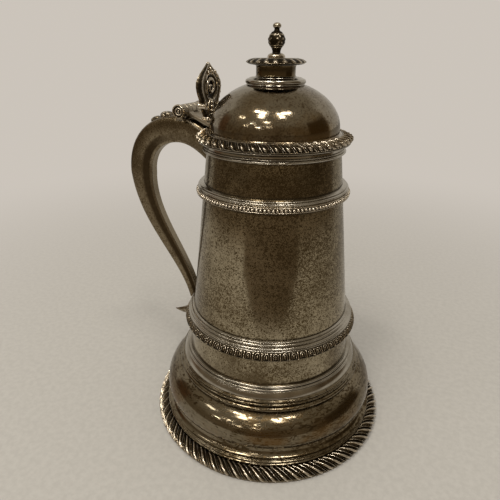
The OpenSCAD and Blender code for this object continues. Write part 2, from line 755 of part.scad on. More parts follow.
// The leaf falls from the knuckles to the seat between dome and gadroons,
// and its top line ends a little above the gadroons
leaf_rise = 0.3;
leaf_end = [dome_r + fit, border_z + lid_gadroon_h + leaf_rise];
hinge = [hinge_x, hinge_z];
leaf_way = unit(hinge - leaf_end);
leaf_up = [-leaf_way[1], leaf_way[0]];
leaf_start = leaf_end - leaf_way * overcut;
module lid_hinge_leaf() {
    neck = knuckle_r * 0.8;
    neck_start = hinge - leaf_way * (knuckle_r + knuckle_clear + leaf_t);
    color(hinge_colour)
        difference() {
            union() {
                difference() {
                    side_plate(leaf_w)
                        polygon([leaf_start - leaf_up * overcut, hinge - leaf_up * leaf_t / 2,
                            hinge + leaf_up * leaf_t / 2, leaf_start + leaf_up * leaf_t]);
                    leaf_space();
                    translate([-hinge_x, -barrel_l, hinge_z])
                        rotate([-90, 0, 0])
                            cylinder(r = knuckle_r + knuckle_clear, h = 2 * barrel_l);
                }
                for (k = [1, 3]) {
                    knuckle(k);
                    translate([0, (k - 2) * pitch, 0])
                        side_plate(pitch - knuckle_gap)
                            polygon([neck_start - leaf_up * leaf_t / 2, hinge - leaf_up * neck / 2,
                                hinge + leaf_up * neck / 2, neck_start + leaf_up * leaf_t / 2]);
                }
            }
            pin_bore();
        }
}

// Space that the leaf leaves to the dome and to the gadroons of the lid
module leaf_space() {
    rotate_extrude()
        polygon(concat([[0, flange_z], [lid_edge_r + fit, flange_z]],
            [for (p = arc(lid_centre_r, lid_centre_z, lid_edge_r - lid_centre_r, lid_border_rise, 0, 96, 12))
                p + [fit, fit]],
            [[dome_r + fit, border_z + lid_gadroon_h + fit], [dome_r + fit, dome_z + dome_h],
                [0, dome_z + dome_h]]));
}

// Thumbpiece

thumb_x = leaf_end[0] + thumb_t / 2 + thumb_gap;
thumb_z = leaf_end[1];
// Outline of the thumbpiece from foot to tip, as shares of its height and of its half width:
// a slim stem, a waist under a scroll on each side, a broad shield and a point
thumb_form = [[-0.08, 0.3], [0.06, 0.3], [0.12, 0.38], [0.2, 0.5], [0.27, 0.62], [0.31, 0.76],
    [0.35, 0.74], [0.38, 0.7], [0.43, 0.78], [0.5, 0.9], [0.57, 0.97], [0.63, 1], [0.69, 0.99],
    [0.74, 0.93], [0.79, 0.8], [0.84, 0.64], [0.89, 0.45], [0.94, 0.26], [1, 0.05]];
// Share of the greatest thickness at each share of the height
thumb_depth = [[-0.1, 0.75], [0.3, 0.85], [0.5, 1], [0.72, 1], [0.9, 0.6], [1, 0.25]];
// Height of the hollow's middle as a share, and the ring of the volute in it as shares of its size
thumb_middle = 0.62;
volute_r = 0.4;
volute_t = 0.8;
// Both halves of an outline of shares, spread to half width w and height h
function both_sides(form, w, h) = concat([for (p = form) [p[1] * w, p[0] * h]],
    [for (i = [len(form) - 1:-1:0]) [-form[i][1] * w, form[i][0] * h]]);

module thumbpiece() {
    hollow_z = thumb_z + thumb_h * thumb_middle;
    color(border_colour)
        difference() {
            intersection() {
                translate([-thumb_x - thumb_t, 0, thumb_z])
                    rotate([90, 0, 90])
                        linear_extrude(2 * thumb_t)
                            polygon(both_sides(thumb_form, thumb_w / 2, thumb_h));
                side_plate(2 * thumb_w)
                    translate([thumb_x, thumb_z])
                        polygon(both_sides(thumb_depth, thumb_t / 2, thumb_h));
            }
            for (side = [-1, 1])
                translate([-thumb_x + side * (thumb_t / 2 - thumb_hollow_t), 0, hollow_z])
                    rotate([0, 90 * side, 0])
                        rotate_extrude()
                            difference() {
                                square([thumb_hollow_r, thumb_t]);
                                translate([thumb_hollow_r * volute_r, 0])
                                    circle(thumb_hollow_t * volute_t, $fn = 24);
                            }
            side_plate(2 * thumb_w)
                polygon([leaf_start - leaf_up * 2 * overcut, hinge - leaf_up * 2 * overcut,
                    hinge + leaf_up * leaf_t / 2, leaf_start + leaf_up * leaf_t]);
        }
}

// Lid

lid_centre_r = lid_edge_r - lid_gadroon_w + core;
lid_centre_z = border_z + core;
lid_border_rise = lid_gadroon_h - core;

module lid_flange() {
    color(body_colour)
        rotate_extrude()
            translate([bezel_in_r, flange_z])
                square([lid_edge_r - heel - bezel_in_r, lid_flange_t]);
}

module lid_gadroon() {
    inner_r = lid_edge_r - lid_gadroon_w;
    color(border_colour)
        lobed_ring(lid_centre_r, lid_centre_z, lid_edge_r - lid_centre_r, lid_border_rise, 96, -10, 4,
            [[lid_edge_r - heel, border_z], [inner_r, border_z]],
            lid_gadroons, 4, lid_gadroon_cut, 0.9);
}

module lid_bezel() {
    color(inner_colour)
        rotate_extrude()
            translate([bezel_in_r, flange_z - bezel_depth])
                square([bezel_wall, bezel_depth]);
}

// Height of the dome's outer face at radius r, and of its inner face
function dome_face(r) = dome_z + dome_h * sqrt(1 - pow(r / dome_r, 2));

// A rounded fillet at the dome's foot fills the ledge inside the gadroons
rim_round = 0.6;
module lid_dome() {
    in_r = dome_r - dome_wall;
    in_h = dome_h - dome_wall;
    out_end = acos(drum_in_r / dome_r);
    in_end = acos(drum_in_r / in_r);
    rim_r = lid_edge_r - lid_gadroon_w - fit;
    rim_z = border_z + lid_gadroon_h - 2 * rim_round;
    color(body_colour)
        rotate_extrude()
            polygon(concat([[in_r, border_z], [rim_r, border_z]],
                arc(rim_r - rim_round, rim_z, rim_round, rim_round, 0, 90, 4),
                [[dome_r, rim_z + rim_round]],
                arc(0, dome_z, dome_r, dome_h, 0, out_end, 24),
                arc(0, dome_z, in_r, in_h, in_end, 0, 24)));
}

lantern_z = dome_face(lantern_collar_r) + lantern_collar_h;
module lantern_collar() {
    torus_r = lantern_collar_h * 0.4;
    torus_x = lantern_collar_r - torus_r;
    seat_r = lantern_collar_r - core;
    torus_z = dome_face(seat_r) + fit + torus_r;
    top_r = drum_r + drum_flare + core;
    lip_z = lantern_z - core;
    seat = [for (i = [0:8]) let (r = drum_in_r + (seat_r - drum_in_r) * i / 8) [r, dome_face(r) + fit]];
    color(border_colour)
        rotate_extrude()
            polygon(concat(seat,
                arc(torus_x, torus_z, torus_r, torus_r, -60, 90, 10),
                arc(torus_x, lip_z, torus_x - top_r, lip_z - torus_z - torus_r, 270, 180, 8),
                [[top_r, lantern_z], [drum_in_r, lantern_z]]));
}

gallery_z = lantern_z + drum_h;
module lantern_drum() {
    flare_r = drum_r + drum_flare;
    color(body_colour)
        rotate_extrude()
            polygon(concat([[drum_in_r, lantern_z]],
                arc(flare_r, lantern_z + drum_flare_h, drum_flare, drum_flare_h, 270, 180, 4),
                arc(flare_r, gallery_z - drum_flare_h, drum_flare, drum_flare_h, 180, 90, 4),
                [[drum_in_r, gallery_z]]));
}

module gallery_plate() {
    color(body_colour)
        difference() {
            translate([0, 0, gallery_z])
                cylinder(r = gallery_plate_r, h = gallery_h);
            translate([0, 0, gallery_z - overcut])
                cylinder(r = stud_r + fit, h = gallery_h + 2 * overcut);
        }
}

module gallery_gadroon() {
    inner_r = gallery_plate_r + fit;
    color(border_colour)
        lobed_ring(inner_r, gallery_z + gallery_h * 0.35, gallery_r - inner_r, gallery_h * 0.65, 88, -20, 3,
            [[gallery_r - heel, gallery_z], [inner_r, gallery_z]],
            gallery_lobes, 4, gallery_cut, 0);
}

// Hollow curve between two points of an outline, given the way in which it leaves and reaches them
function hollow(p, way_p, q, way_q, lead) =
    [for (i = [0:6]) cubic(p, p + way_p * lead, q - way_q * lead, q, i / 6)];

// The ball runs out in hollow necks below and above, which leave it at these angles
neck_ends = [-50, 52];
// Share of the ball's radius over which a neck turns, and the angle of one step of the outline
neck_lead = 0.3;
ball_step = 8;
module finial() {
    base_z = gallery_z + gallery_h;
    ball_z = base_z + finial_base_h + finial_neck_h + ball_r;
    knob_z = ball_z + ball_r + finial_stem_h + finial_knob_h / 2;
    stud_z = gallery_z - nut_t - core;
    knob_low = -acos(finial_stem_r / finial_knob_r);
    lead = ball_r * neck_lead;
    low = neck_ends[0];
    high = neck_ends[1];
    stem_top = [finial_stem_r, knob_z + finial_knob_h / 2 * sin(knob_low)];
    color(border_colour) {
        rotate_extrude()
            polygon(concat([[0, base_z], [finial_base_r, base_z]],
                arc(finial_neck_r, base_z, finial_base_r - finial_neck_r, finial_base_h, 10, 90, 8),
                hollow([finial_neck_r, base_z + finial_base_h + core / 2], [0, 1],
                    [ball_r * cos(low), ball_z + ball_r * sin(low)], [-sin(low), cos(low)], lead / 2),
                arc(0, ball_z, ball_r, ball_r, low + ball_step, high - ball_step, 16),
                hollow([ball_r * cos(high), ball_z + ball_r * sin(high)], [-sin(high), cos(high)],
                    stem_top, [0, 1], lead),
                arc(0, knob_z, finial_knob_r, finial_knob_h / 2, knob_low + ball_step, 90, 12)));
        translate([0, 0, stud_z])
            cylinder(r = stud_r, h = base_z + core - stud_z);
    }
}

module finial_nut() {
    color(inner_colour)
        translate([0, 0, gallery_z - nut_t - fit])
            difference() {
                cylinder(d = nut_w, h = nut_t, $fn = 6);
                translate([0, 0, -overcut])
                    cylinder(r = stud_r + fit, h = nut_t + 2 * overcut);
            }
}

body_barrel();
body_floor();
mouth_moulding();
upper_girdle();
upper_girdle_beads();
lower_girdle();
lower_girdle_border();
foot_collar();
foot_dome();
foot_gadroon();
handle_shell();
handle_strap();
handle_tail();
handle_drops();
handle_hinge_plate();
hinge_pin();
hinge_caps();
lid_flange();
lid_gadroon();
lid_bezel();
lid_dome();
lid_hinge_leaf();
thumbpiece();
lantern_collar();
lantern_drum();
gallery_plate();
gallery_gadroon();
finial();
finial_nut();
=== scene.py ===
# Dressed model of a lidded silver tankard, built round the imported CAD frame.
import bpy
import math
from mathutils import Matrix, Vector


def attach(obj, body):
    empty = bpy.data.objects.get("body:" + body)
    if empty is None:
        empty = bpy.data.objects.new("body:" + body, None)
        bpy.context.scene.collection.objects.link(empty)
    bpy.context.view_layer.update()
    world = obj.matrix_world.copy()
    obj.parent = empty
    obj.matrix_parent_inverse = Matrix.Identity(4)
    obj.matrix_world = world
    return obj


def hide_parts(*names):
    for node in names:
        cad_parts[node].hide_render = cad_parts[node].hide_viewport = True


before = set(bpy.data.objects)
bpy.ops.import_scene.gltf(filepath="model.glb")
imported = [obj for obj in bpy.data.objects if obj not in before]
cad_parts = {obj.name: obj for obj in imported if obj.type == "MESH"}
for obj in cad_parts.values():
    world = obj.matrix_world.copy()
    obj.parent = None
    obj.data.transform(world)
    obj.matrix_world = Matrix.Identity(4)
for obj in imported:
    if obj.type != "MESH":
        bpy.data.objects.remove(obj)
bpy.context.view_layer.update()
mm = 0.001
fullTurn = 2 * math.pi
weldGap = 0.002 * mm  # points nearer than this are merged
solder = 0.05  # gap between two pieces that are soldered together, in millimetres
bpy.context.scene.view_settings.view_transform = "Standard"
print("frame loaded,", len(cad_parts), "nodes")


# small helpers

def clearSelection():
    if bpy.context.object and bpy.context.object.mode != "OBJECT":
        bpy.ops.object.mode_set(mode="OBJECT")
    bpy.ops.object.select_all(action="DESELECT")


def pick(piece):
    clearSelection()
    piece.select_set(True)
    bpy.context.view_layer.objects.active = piece


def openMesh():
    # opens the active piece with its whole mesh selected
    bpy.ops.object.mode_set(mode="EDIT")
    bpy.ops.mesh.select_all(action="SELECT")


def cleanMesh():
    # in edit mode: welds the seams and turns the faces outwards
    bpy.ops.mesh.select_all(action="SELECT")
    bpy.ops.mesh.remove_doubles(threshold=weldGap)
    bpy.ops.mesh.normals_make_consistent(inside=False)
    bpy.ops.object.mode_set(mode="OBJECT")


def clamp(value):
    return min(1.0, max(0.0, value))


def arc(cx, cz, rx, rz, start, end, count):
    # points of an ellipse arc, angles in degrees
    points = []
    for i in range(count + 1):
        a = math.radians(start + (end - start) * i / count)
        points.append((cx + rx * math.cos(a), cz + rz * math.sin(a)))
    return points


def drawn(steps):
    # a profile from single points and from arcs, which are given by the seven values of arc
    profile = []
    for step in steps:
        profile += [step] if len(step) == 2 else arc(*step)
    return profile


def closed(profile):
    return profile + profile[:1]


def markDepth(piece, marks):
    # notes for the finish how deep each point lies, from 0 on a crest to 1 in a hollow; the finish uses
    # them to paint tarnish and shade into the hollows and highlights onto the crests
    note = piece.data.attributes.new("depth", "FLOAT", "POINT")
    note.data.foreach_set("value", marks)


def spunPiece(profile, steps=192, depth=None):
    # a chain of points (radius, height) in millimetres, extruded one by one and spun about the axis
    clearSelection()
    bpy.ops.mesh.primitive_plane_add(size=mm)
    piece = bpy.context.object
    bpy.ops.object.mode_set(mode="EDIT")
    bpy.ops.mesh.merge(type="CENTER")
    here = (0.0, 0.0)
    for i, there in enumerate(profile):
        step = ((there[0] - here[0]) * mm, 0, (there[1] - here[1]) * mm)
        if i == 0:
            bpy.ops.transform.translate(value=step)
        else:
            bpy.ops.mesh.extrude_region_move(TRANSFORM_OT_translate={"value": step})
        here = there
    bpy.ops.mesh.select_all(action="SELECT")
    bpy.ops.mesh.spin(steps=steps, angle=fullTurn, center=(0, 0, 0), axis=(0, 0, 1))
    cleanMesh()
    if depth:
        places = [vertex.co for vertex in piece.data.vertices]
        markDepth(piece, [depth(math.hypot(co.x, co.y) / mm, co.z / mm) for co in places])
    return piece


def formedSheet(across, along, place, depth=None):
    # a grid whose points are carried to place(u, v), given in millimetres; depth(u, v) marks the hollows
    clearSelection()
    bpy.ops.mesh.primitive_grid_add(x_subdivisions=across, y_subdivisions=along, size=1)
    piece = bpy.context.object
    marks = []
    for vertex in piece.data.vertices:
        u = vertex.co.x + 0.5
        v = vertex.co.y + 0.5
        marks.append(depth(u, v) if depth else 0.0)
        vertex.co = Vector(place(u, v)) * mm
    markDepth(piece, marks)
    return piece


def weld(piece, caps=False):
    pick(piece)
    openMesh()
    bpy.ops.mesh.remove_doubles(threshold=weldGap)
    if caps:
        bpy.ops.mesh.fill_holes(sides=0)
    cleanMesh()
    return piece


def ringOf(piece, count):
    # copies of one repeat round the axis, welded into a closed border
    pick(piece)
    openMesh()
    bpy.ops.mesh.spin(steps=count - 1, dupli=True, angle=fullTurn * (count - 1) / count,
                      center=(0, 0, 0), axis=(0, 0, 1))
    cleanMesh()
    return piece


def alongPoints(points, t):
    # smooth curve through the points, t from 0 to 1
    s = min(max(t, 0.0), 0.9999) * (len(points) - 1)
    k = int(s)
    f = s - k
    p = [points[min(max(k + i, 0), len(points) - 1)] for i in (-1, 0, 1, 2)]
    result = []
    for a, b, c, d in zip(*p):
        result.append(0.5 * (2 * b + (c - a) * f + (2 * a - 5 * b + 4 * c - d) * f * f
                             + (3 * b - a - 3 * c + d) * f ** 3))
    return result


def alongChain(points, s):
    # straight steps from point to point, s from 0 to 1
    k = min(int(s * (len(points) - 1)), len(points) - 2)
    part = s * (len(points) - 1) - k
    return [a * (1 - part) + b * part for a, b in zip(points[k], points[k + 1])]


def alongRows(rows, z):
    # value at height z in rows of (height, value)
    for (z0, w0), (z1, w1) in zip(rows, rows[1:]):
        if z <= z1:
            return w0 + (w1 - w0) * (z - z0) / (z1 - z0)
    return rows[-1][1]


def joined(pieces):
    pick(pieces[0])
    for piece in pieces:
        piece.select_set(True)
    bpy.ops.object.join()
    return bpy.context.object


def soften(piece, angle, bevel=0.0):
    # rounds the sharp edges a little and smooths the rest
    pick(piece)
    if bevel > 0:
        edges = piece.modifiers.new("edges", "BEVEL")
        edges.width = bevel * mm
        edges.segments = 2
        edges.limit_method = "ANGLE"
        edges.angle_limit = math.radians(angle)
        bpy.ops.object.modifier_apply(modifier=edges.name)
    bpy.ops.object.shade_smooth_by_angle(angle=math.radians(angle))


def settle(piece, name, node, body, finish, angle, bevel=0.0):
    # softens a piece and gives it its name, silver, body and slot in place of its CAD node
    soften(piece, angle, bevel)
    piece.name = name
    piece.data.name = name
    piece.data.materials.clear()
    piece.data.materials.append(silvers[finish])
    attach(piece, body)
    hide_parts(node)
    print("made", name, len(piece.data.polygons), "faces")


# node helpers

def feed(tree, socket, value):
    # links an output to a socket, or sets a plain value
    if isinstance(value, bpy.types.NodeSocket):
        tree.links.new(value, socket)
    elif socket.type == "RGBA":
        socket.default_value = (*value, 1)
    else:
        socket.default_value = value


def addNode(tree, kind, **settings):
    node = tree.nodes.new(kind)
    for key, value in settings.items():
        setattr(node, key, value)
    return node


def mapRange(tree, value, low, high, toLow=0.0, toHigh=1.0, smooth=True):
    node = addNode(tree, "ShaderNodeMapRange")
    if smooth:
        node.interpolation_type = "SMOOTHSTEP"
    for socket, number in zip(node.inputs, (value, low, high, toLow, toHigh)):
        feed(tree, socket, number)
    return node.outputs[0]


def mixColour(tree, factor, first, second):
    node = addNode(tree, "ShaderNodeMix", data_type="RGBA")
    for i, value in ((0, factor), (6, first), (7, second)):
        feed(tree, node.inputs[i], value)
    return node.outputs[2]


def mathNode(tree, operation, first, second):
    node = addNode(tree, "ShaderNodeMath", operation=operation)
    feed(tree, node.inputs[0], first)
    feed(tree, node.inputs[1], second)
    return node.outputs[0]


def vectorNode(tree, operation, first, second=None):
    node = addNode(tree, "ShaderNodeVectorMath", operation=operation)
    feed(tree, node.inputs[0], first)
    if second is not None:
        feed(tree, node.inputs["Scale" if operation == "SCALE" else 1], second)
    return node.outputs["Value" if operation in ("DOT_PRODUCT", "LENGTH") else "Vector"]


def heightOf(tree, vector):
    split = addNode(tree, "ShaderNodeSeparateXYZ")
    tree.links.new(vector, split.inputs[0])
    return split.outputs["Z"]


def noise(tree, where, scale, detail, rough, warp=0.0):
    node = addNode(tree, "ShaderNodeTexNoise")
    feed(tree, node.inputs["Vector"], where)
    feed(tree, node.inputs["Scale"], scale)
    feed(tree, node.inputs["Detail"], detail)
    feed(tree, node.inputs["Roughness"], rough)
    feed(tree, node.inputs["Distortion"], warp)
    return node.outputs["Fac"]


def swing(tree, value):
    # a noise moved to lie about nought, at half its strength
    return mathNode(tree, "MULTIPLY", mathNode(tree, "SUBTRACT", value, 0.5), 0.5)


def newGroup(name, given, made):
    # an empty node group: given holds its inputs and their usual values, made its outputs and their kinds
    group = bpy.data.node_groups.new(name, "ShaderNodeTree")
    for key, value in given.items():
        kind = "Float" if isinstance(value, float) else ("Color" if len(value) == 4 else "Vector")
        socket = group.interface.new_socket(name=key, in_out="INPUT", socket_type="NodeSocket" + kind)
        socket.default_value = value
    for key, kind in made.items():
        group.interface.new_socket(name=key, in_out="OUTPUT", socket_type="NodeSocket" + kind)
    enter = addNode(group, "NodeGroupInput")
    leave = addNode(group, "NodeGroupOutput")
    return group, enter.outputs, leave.inputs


# silver finishes

# values that every finish shares; a noise has its scale (where fixed), detail, roughness and warp
wearAndShade = dict(speckNoise=(2.0, 0.5, 1.6), speckRange=(0.94, 1.06), cloudNoise=(4.0, 0.6, 0.4),
            cloudRange=(0.35, 0.68), lineNoise=(4.0, 0.7), lineRange=(0.3, 0.7),
            lineDraw=(0.02, 0.02, 1.0), lineGleam=0.4, sootAndShadeNoise=(350.0, 3.0, 0.6),
            sootAndShadeRange=(-0.35, 0.35), sootAndShadeRough=0.3, crestRange=(0.0, 0.3), stainNoise=(30.0, 4.0, 0.6),
            stainRange=(0.46, 0.64), stainMost=0.75, stainEdge=1.0, bumpDepth=0.05)


def makeTarnishFilm():
    # mottled film of tarnish: fine worm-like specks over soft clouds
    group, given, made = newGroup(
        "tarnishFilm",
        {"place": (0, 0, 0), "stretch": (1, 1, 1), "speckScale": 800.0, "speckCover": 0.5,
         "cloudScale": 30.0, "clean": (0.4, 0.3, 0.2, 1), "film": (0.25, 0.18, 0.1, 1),
         "speck": (0.1, 0.07, 0.04, 1)},
        {"colour": "Color", "speckMask": "Float"})
    stretched = vectorNode(group, "MULTIPLY", given["place"], given["stretch"])
    fine = noise(group, stretched, given["speckScale"], *wearAndShade["speckNoise"])
    cloud = noise(group, given["place"], given["cloudScale"], *wearAndShade["cloudNoise"])
    cloudMask = mapRange(group, cloud, *wearAndShade["cloudRange"])
    level = mathNode(group, "ADD", mathNode(group, "ADD", fine, swing(group, cloud)), given["speckCover"])
    speckMask = mapRange(group, level, *wearAndShade["speckRange"])
    base = mixColour(group, cloudMask, given["clean"], given["film"])
    feed(group, made["colour"], mixColour(group, speckMask, base, given["speck"]))
    feed(group, made["speckMask"], speckMask)
    return group


def makeTurningLines():
    # fine lines round the axis, left by spinning and polishing
    group, given, made = newGroup("turningLines", {"place": (0, 0, 0), "fineness": 900.0},
                                  {"lines": "Float"})
    drawnOut = vectorNode(group, "MULTIPLY", given["place"], wearAndShade["lineDraw"])
    feed(group, made["lines"], noise(group, drawnOut, given["fineness"], *wearAndShade["lineNoise"]))
    return group


def makeRecessSootAndShade():
    # dark tarnish in the hollows, which also serves as painted shade there, and crests rubbed bright,
    # partly as a painted highlight
    group, given, made = newGroup("recessSootAndShade", {"place": (0, 0, 0), "fall": 0.55},
                                  {"sootAndShade": "Float", "crest": "Float"})
    mark = addNode(group, "ShaderNodeAttribute", attribute_name="depth")
    worn = noise(group, given["place"], *wearAndShade["sootAndShadeNoise"])
    level = mathNode(group, "ADD", mark.outputs["Fac"], swing(group, worn))
    over = mathNode(group, "SUBTRACT", level, given["fall"])
    feed(group, made["sootAndShade"], mapRange(group, over, *wearAndShade["sootAndShadeRange"]))
    feed(group, made["crest"], mapRange(group, level, *wearAndShade["crestRange"], 1.0, 0.0))
    return group


tarnishFilm = makeTarnishFilm()
turningLines = makeTurningLines()
recessSootAndShade = makeRecessSootAndShade()


def effect(tree, group, where, finish):
    # one of the groups, with the finish's own values
    node = addNode(tree, "ShaderNodeGroup", node_tree=group)
    feed(tree, node.inputs["place"], where)
    for socket in node.inputs:
        if socket.name in finish:
            feed(tree, socket, finish[socket.name])
    return node.outputs


def silver(name, finish):
    material = bpy.data.materials.new(name)
    material.use_nodes = True
    tree = material.node_tree
    shader = tree.nodes["Principled BSDF"]
    shader.inputs["Metallic"].default_value = 1.0
    where = addNode(tree, "ShaderNodeTexCoord").outputs["Object"]
    film = effect(tree, tarnishFilm, where, finish)
    colour = film["colour"]
    height = film["speckMask"]
    rough = mathNode(tree, "ADD", mathNode(tree, "MULTIPLY", height, finish["speckRough"]), finish["rough"])
    if "lines" in finish:
        lines = effect(tree, turningLines, where, finish)["lines"]
        strong = finish["lines"]
        shade = mapRange(tree, lines, *wearAndShade["lineRange"], 1.0 - strong, 1.0 + wearAndShade["lineGleam"] * strong)
        colour = vectorNode(tree, "SCALE", colour, shade)
        height = mathNode(tree, "ADD", height, lines)
    # painted shade and highlight: hollows take the dark tarnish colour, crests the bright one
    if "sootAndShade" in finish:
        recess = effect(tree, recessSootAndShade, where, finish)
        colour = mixColour(tree, recess["crest"], colour, finish["crest"])
        colour = mixColour(tree, recess["sootAndShade"], colour, finish["sootAndShade"])
        rough = mathNode(tree, "ADD", rough, mathNode(tree, "MULTIPLY", recess["sootAndShade"], wearAndShade["sootAndShadeRough"]))
    if "stain" in finish:
        level = heightOf(tree, where)
        low, high = finish["stainBand"]
        band = mapRange(tree, level, low * mm, high * mm, 1.0, 0.0)
        if "stainFrom" in finish:
            start, edge = finish["stainFrom"], wearAndShade["stainEdge"]
            rise = mapRange(tree, level, (start - edge) * mm, (start + edge) * mm)
            band = mathNode(tree, "MULTIPLY", band, rise)
        blotch = noise(tree, where, *wearAndShade["stainNoise"])
        patch = mapRange(tree, blotch, *wearAndShade["stainRange"], 0.0, wearAndShade["stainMost"])
        colour = mixColour(tree, mathNode(tree, "MULTIPLY", band, patch), colour, finish["stain"])
    feed(tree, shader.inputs["Base Color"], colour)
    feed(tree, shader.inputs["Roughness"], rough)
    bump = addNode(tree, "ShaderNodeBump")
    bump.inputs["Strength"].default_value = finish["bump"]
    bump.inputs["Distance"].default_value = wearAndShade["bumpDepth"] * mm
    feed(tree, bump.inputs["Height"], height)
    feed(tree, shader.inputs["Normal"], bump.outputs["Normal"])
    return material


# the soot colours are tarnish in the hollows with painted shade, and the crest colours are rubbed-bright
# metal with painted highlights
finishes = {
    "sheet": dict(clean=(0.4, 0.345, 0.245), film=(0.3, 0.247, 0.16), speck=(0.1, 0.072, 0.036),
                  speckScale=950.0, speckCover=0.5, cloudScale=20.0, rough=0.085, speckRough=0.2,
                  lines=0.08, fineness=700.0, bump=0.07, stain=(0.115, 0.085, 0.048), stainBand=(67, 74),
                  sootAndShade=(0.05, 0.036, 0.019), fall=0.75, crest=(0.4, 0.345, 0.245)),
    "dome": dict(clean=(0.29, 0.255, 0.195), film=(0.23, 0.19, 0.135), speck=(0.12, 0.088, 0.05),
                 speckScale=800.0, speckCover=0.45, cloudScale=40.0, rough=0.065, speckRough=0.16,
                 lines=0.06, fineness=600.0, bump=0.1, stain=(0.22, 0.15, 0.07), stainBand=(200, 222)),
    "drum": dict(clean=(0.15, 0.115, 0.065), film=(0.105, 0.074, 0.037), speck=(0.055, 0.037, 0.018),
                 speckScale=700.0, speckCover=0.42, cloudScale=60.0, rough=0.11, speckRough=0.16,
                 lines=0.15, fineness=700.0, bump=0.12),
    "foot": dict(clean=(0.26, 0.222, 0.16), film=(0.18, 0.143, 0.09), speck=(0.075, 0.052, 0.026),
                 stretch=(0.3, 0.3, 1.0), speckScale=750.0, speckCover=0.44, cloudScale=26.0, rough=0.11,
                 speckRough=0.2, lines=0.22, fineness=900.0, bump=0.15, stain=(0.15, 0.085, 0.03),
                 stainBand=(24, 37), stainFrom=23.0),
    "wire": dict(clean=(0.47, 0.44, 0.385), film=(0.31, 0.278, 0.226), speck=(0.12, 0.09, 0.052),
                 stretch=(0.4, 0.4, 1.0), speckScale=900.0, speckCover=0.12, cloudScale=60.0, rough=0.18,
                 speckRough=0.1, lines=0.06, fineness=500.0, bump=0.01),
    "cast": dict(clean=(0.34, 0.29, 0.215), film=(0.22, 0.18, 0.12), speck=(0.1, 0.075, 0.042),
                 speckScale=900.0, speckCover=0.42, cloudScale=90.0, rough=0.2, speckRough=0.16,
                 bump=0.15, sootAndShade=(0.022, 0.016, 0.009), fall=0.5, crest=(0.62, 0.555, 0.46)),
    "handle": dict(clean=(0.25, 0.205, 0.138), film=(0.2, 0.157, 0.1), speck=(0.1, 0.072, 0.038),
                   speckScale=1000.0, speckCover=0.46, cloudScale=36.0, rough=0.26, speckRough=0.12,
                   bump=0.12, sootAndShade=(0.06, 0.041, 0.021), fall=0.75, crest=(0.3, 0.255, 0.185)),
    "hinge": dict(clean=(0.42, 0.37, 0.29), film=(0.33, 0.282, 0.21), speck=(0.12, 0.09, 0.052),
                  speckScale=900.0, speckCover=0.25, cloudScale=120.0, rough=0.34, speckRough=0.1,
                  bump=0.03),
    "inner": dict(clean=(0.26, 0.217, 0.15), film=(0.19, 0.15, 0.095), speck=(0.09, 0.066, 0.036),
                  speckScale=700.0, speckCover=0.48, cloudScale=30.0, rough=0.3, speckRough=0.15, bump=0.2),
}
silvers = {name: silver(name + "Silver", finish) for name, finish in finishes.items()}
print("finishes ready")


# barrel and its mouldings

# each corner has the height where a wire meets the barrel, and the way in which the tarnish and painted
# shade fade
barrel = dict(baseR=54.4, baseZ=53.2, mouthR=39.3, mouthZ=187.2, wall=0.9, floorT=1.0, floorEdge=3.0,
              plainDepth=0.38, fade=1.5,
              corners=((53.2, 1), (70.5, -1), (82.6, 1), (157.2, -1), (165.2, 1), (183.3, -1)))


def barrelR(z):
    share = (z - barrel["baseZ"]) / (barrel["mouthZ"] - barrel["baseZ"])
    return barrel["baseR"] + (barrel["mouthR"] - barrel["baseR"]) * share


def onBarrel(z):
    # seat of a wire that is soldered to the barrel
    return (barrelR(z) + solder, z)


def cornerSootAndShade(z):
    # tarnish and painted shade stay in the corners where the wires meet the barrel
    deep = barrel["plainDepth"]
    for corner, way in barrel["corners"]:
        gap = (z - corner) * way / barrel["fade"]
        if -0.01 < gap < 1:
            deep = max(deep, 1 + (barrel["plainDepth"] - 1) * gap)
    return deep


def makeBarrel():
    b = barrel
    levels = [corner + way * gap * b["fade"] for corner, way in b["corners"] for gap in (0, 0.5, 1)]
    profile = [(b["baseR"] - b["wall"], b["baseZ"])] + [(barrelR(z), z) for z in sorted(levels)]
    profile += [(b["mouthR"], b["mouthZ"]), (b["mouthR"] - b["wall"], b["mouthZ"])]
    shell = spunPiece(closed(profile), depth=lambda r, z: cornerSootAndShade(z))
    settle(shell, "barrelShell", "body_barrel", "tankard", "sheet", 30, 0.15)
    top = b["baseZ"] + b["floorT"]
    edgeR = barrelR(top) - b["wall"] - solder
    profile = [(0, b["baseZ"]), (edgeR, b["baseZ"]), (edgeR, top), (edgeR - b["floorEdge"], top), (0, top)]
    plate = spunPiece(profile, 96)
    settle(plate, "floorPlate", "body_floor", "tankard", "inner", 30, 0.1)


mouldings = {
    # a small reed over a larger one, with a hollow under the lid
    "mouthMoulding": dict(node="mouth_moulding", foot=183.3, top=187.2, section=[
        (40.7, 183.3), (41.2, 183.45), (41.35, 184.2, 0.8, 0.72, -70, 80, 10), (40.95, 185.05),
        (41.0, 185.6, 0.5, 0.42, -60, 80, 8), (40.55, 186.2), (40.5, 187.2)]),
    # a reed over a fuller one
    "upperGirdle": dict(node="upper_girdle", foot=161.8, top=165.2, section=[
        (44.8, 161.8), (45.05, 162.25), (44.45, 163.05, 0.98, 0.75, -60, 75, 10), (44.2, 163.75),
        (43.65, 164.2, 0.78, 0.5, -50, 90, 8), (43.1, 164.85)]),
    # four reeds that shrink upwards, the lowest one thin
    "lowerGirdle": dict(node="lower_girdle", foot=76.6, top=82.6, section=[
        (54.9, 76.6), (55.0, 77.0), (54.7, 77.35, 0.45, 0.34, -40, 80, 6), (54.4, 77.85),
        (53.9, 78.75, 0.98, 0.78, -60, 80, 10), (53.25, 79.75), (52.8, 80.6, 0.95, 0.72, -60, 75, 10),
        (52.2, 81.4), (52.0, 81.85, 0.58, 0.42, -60, 90, 6), (51.8, 82.45)]),
}


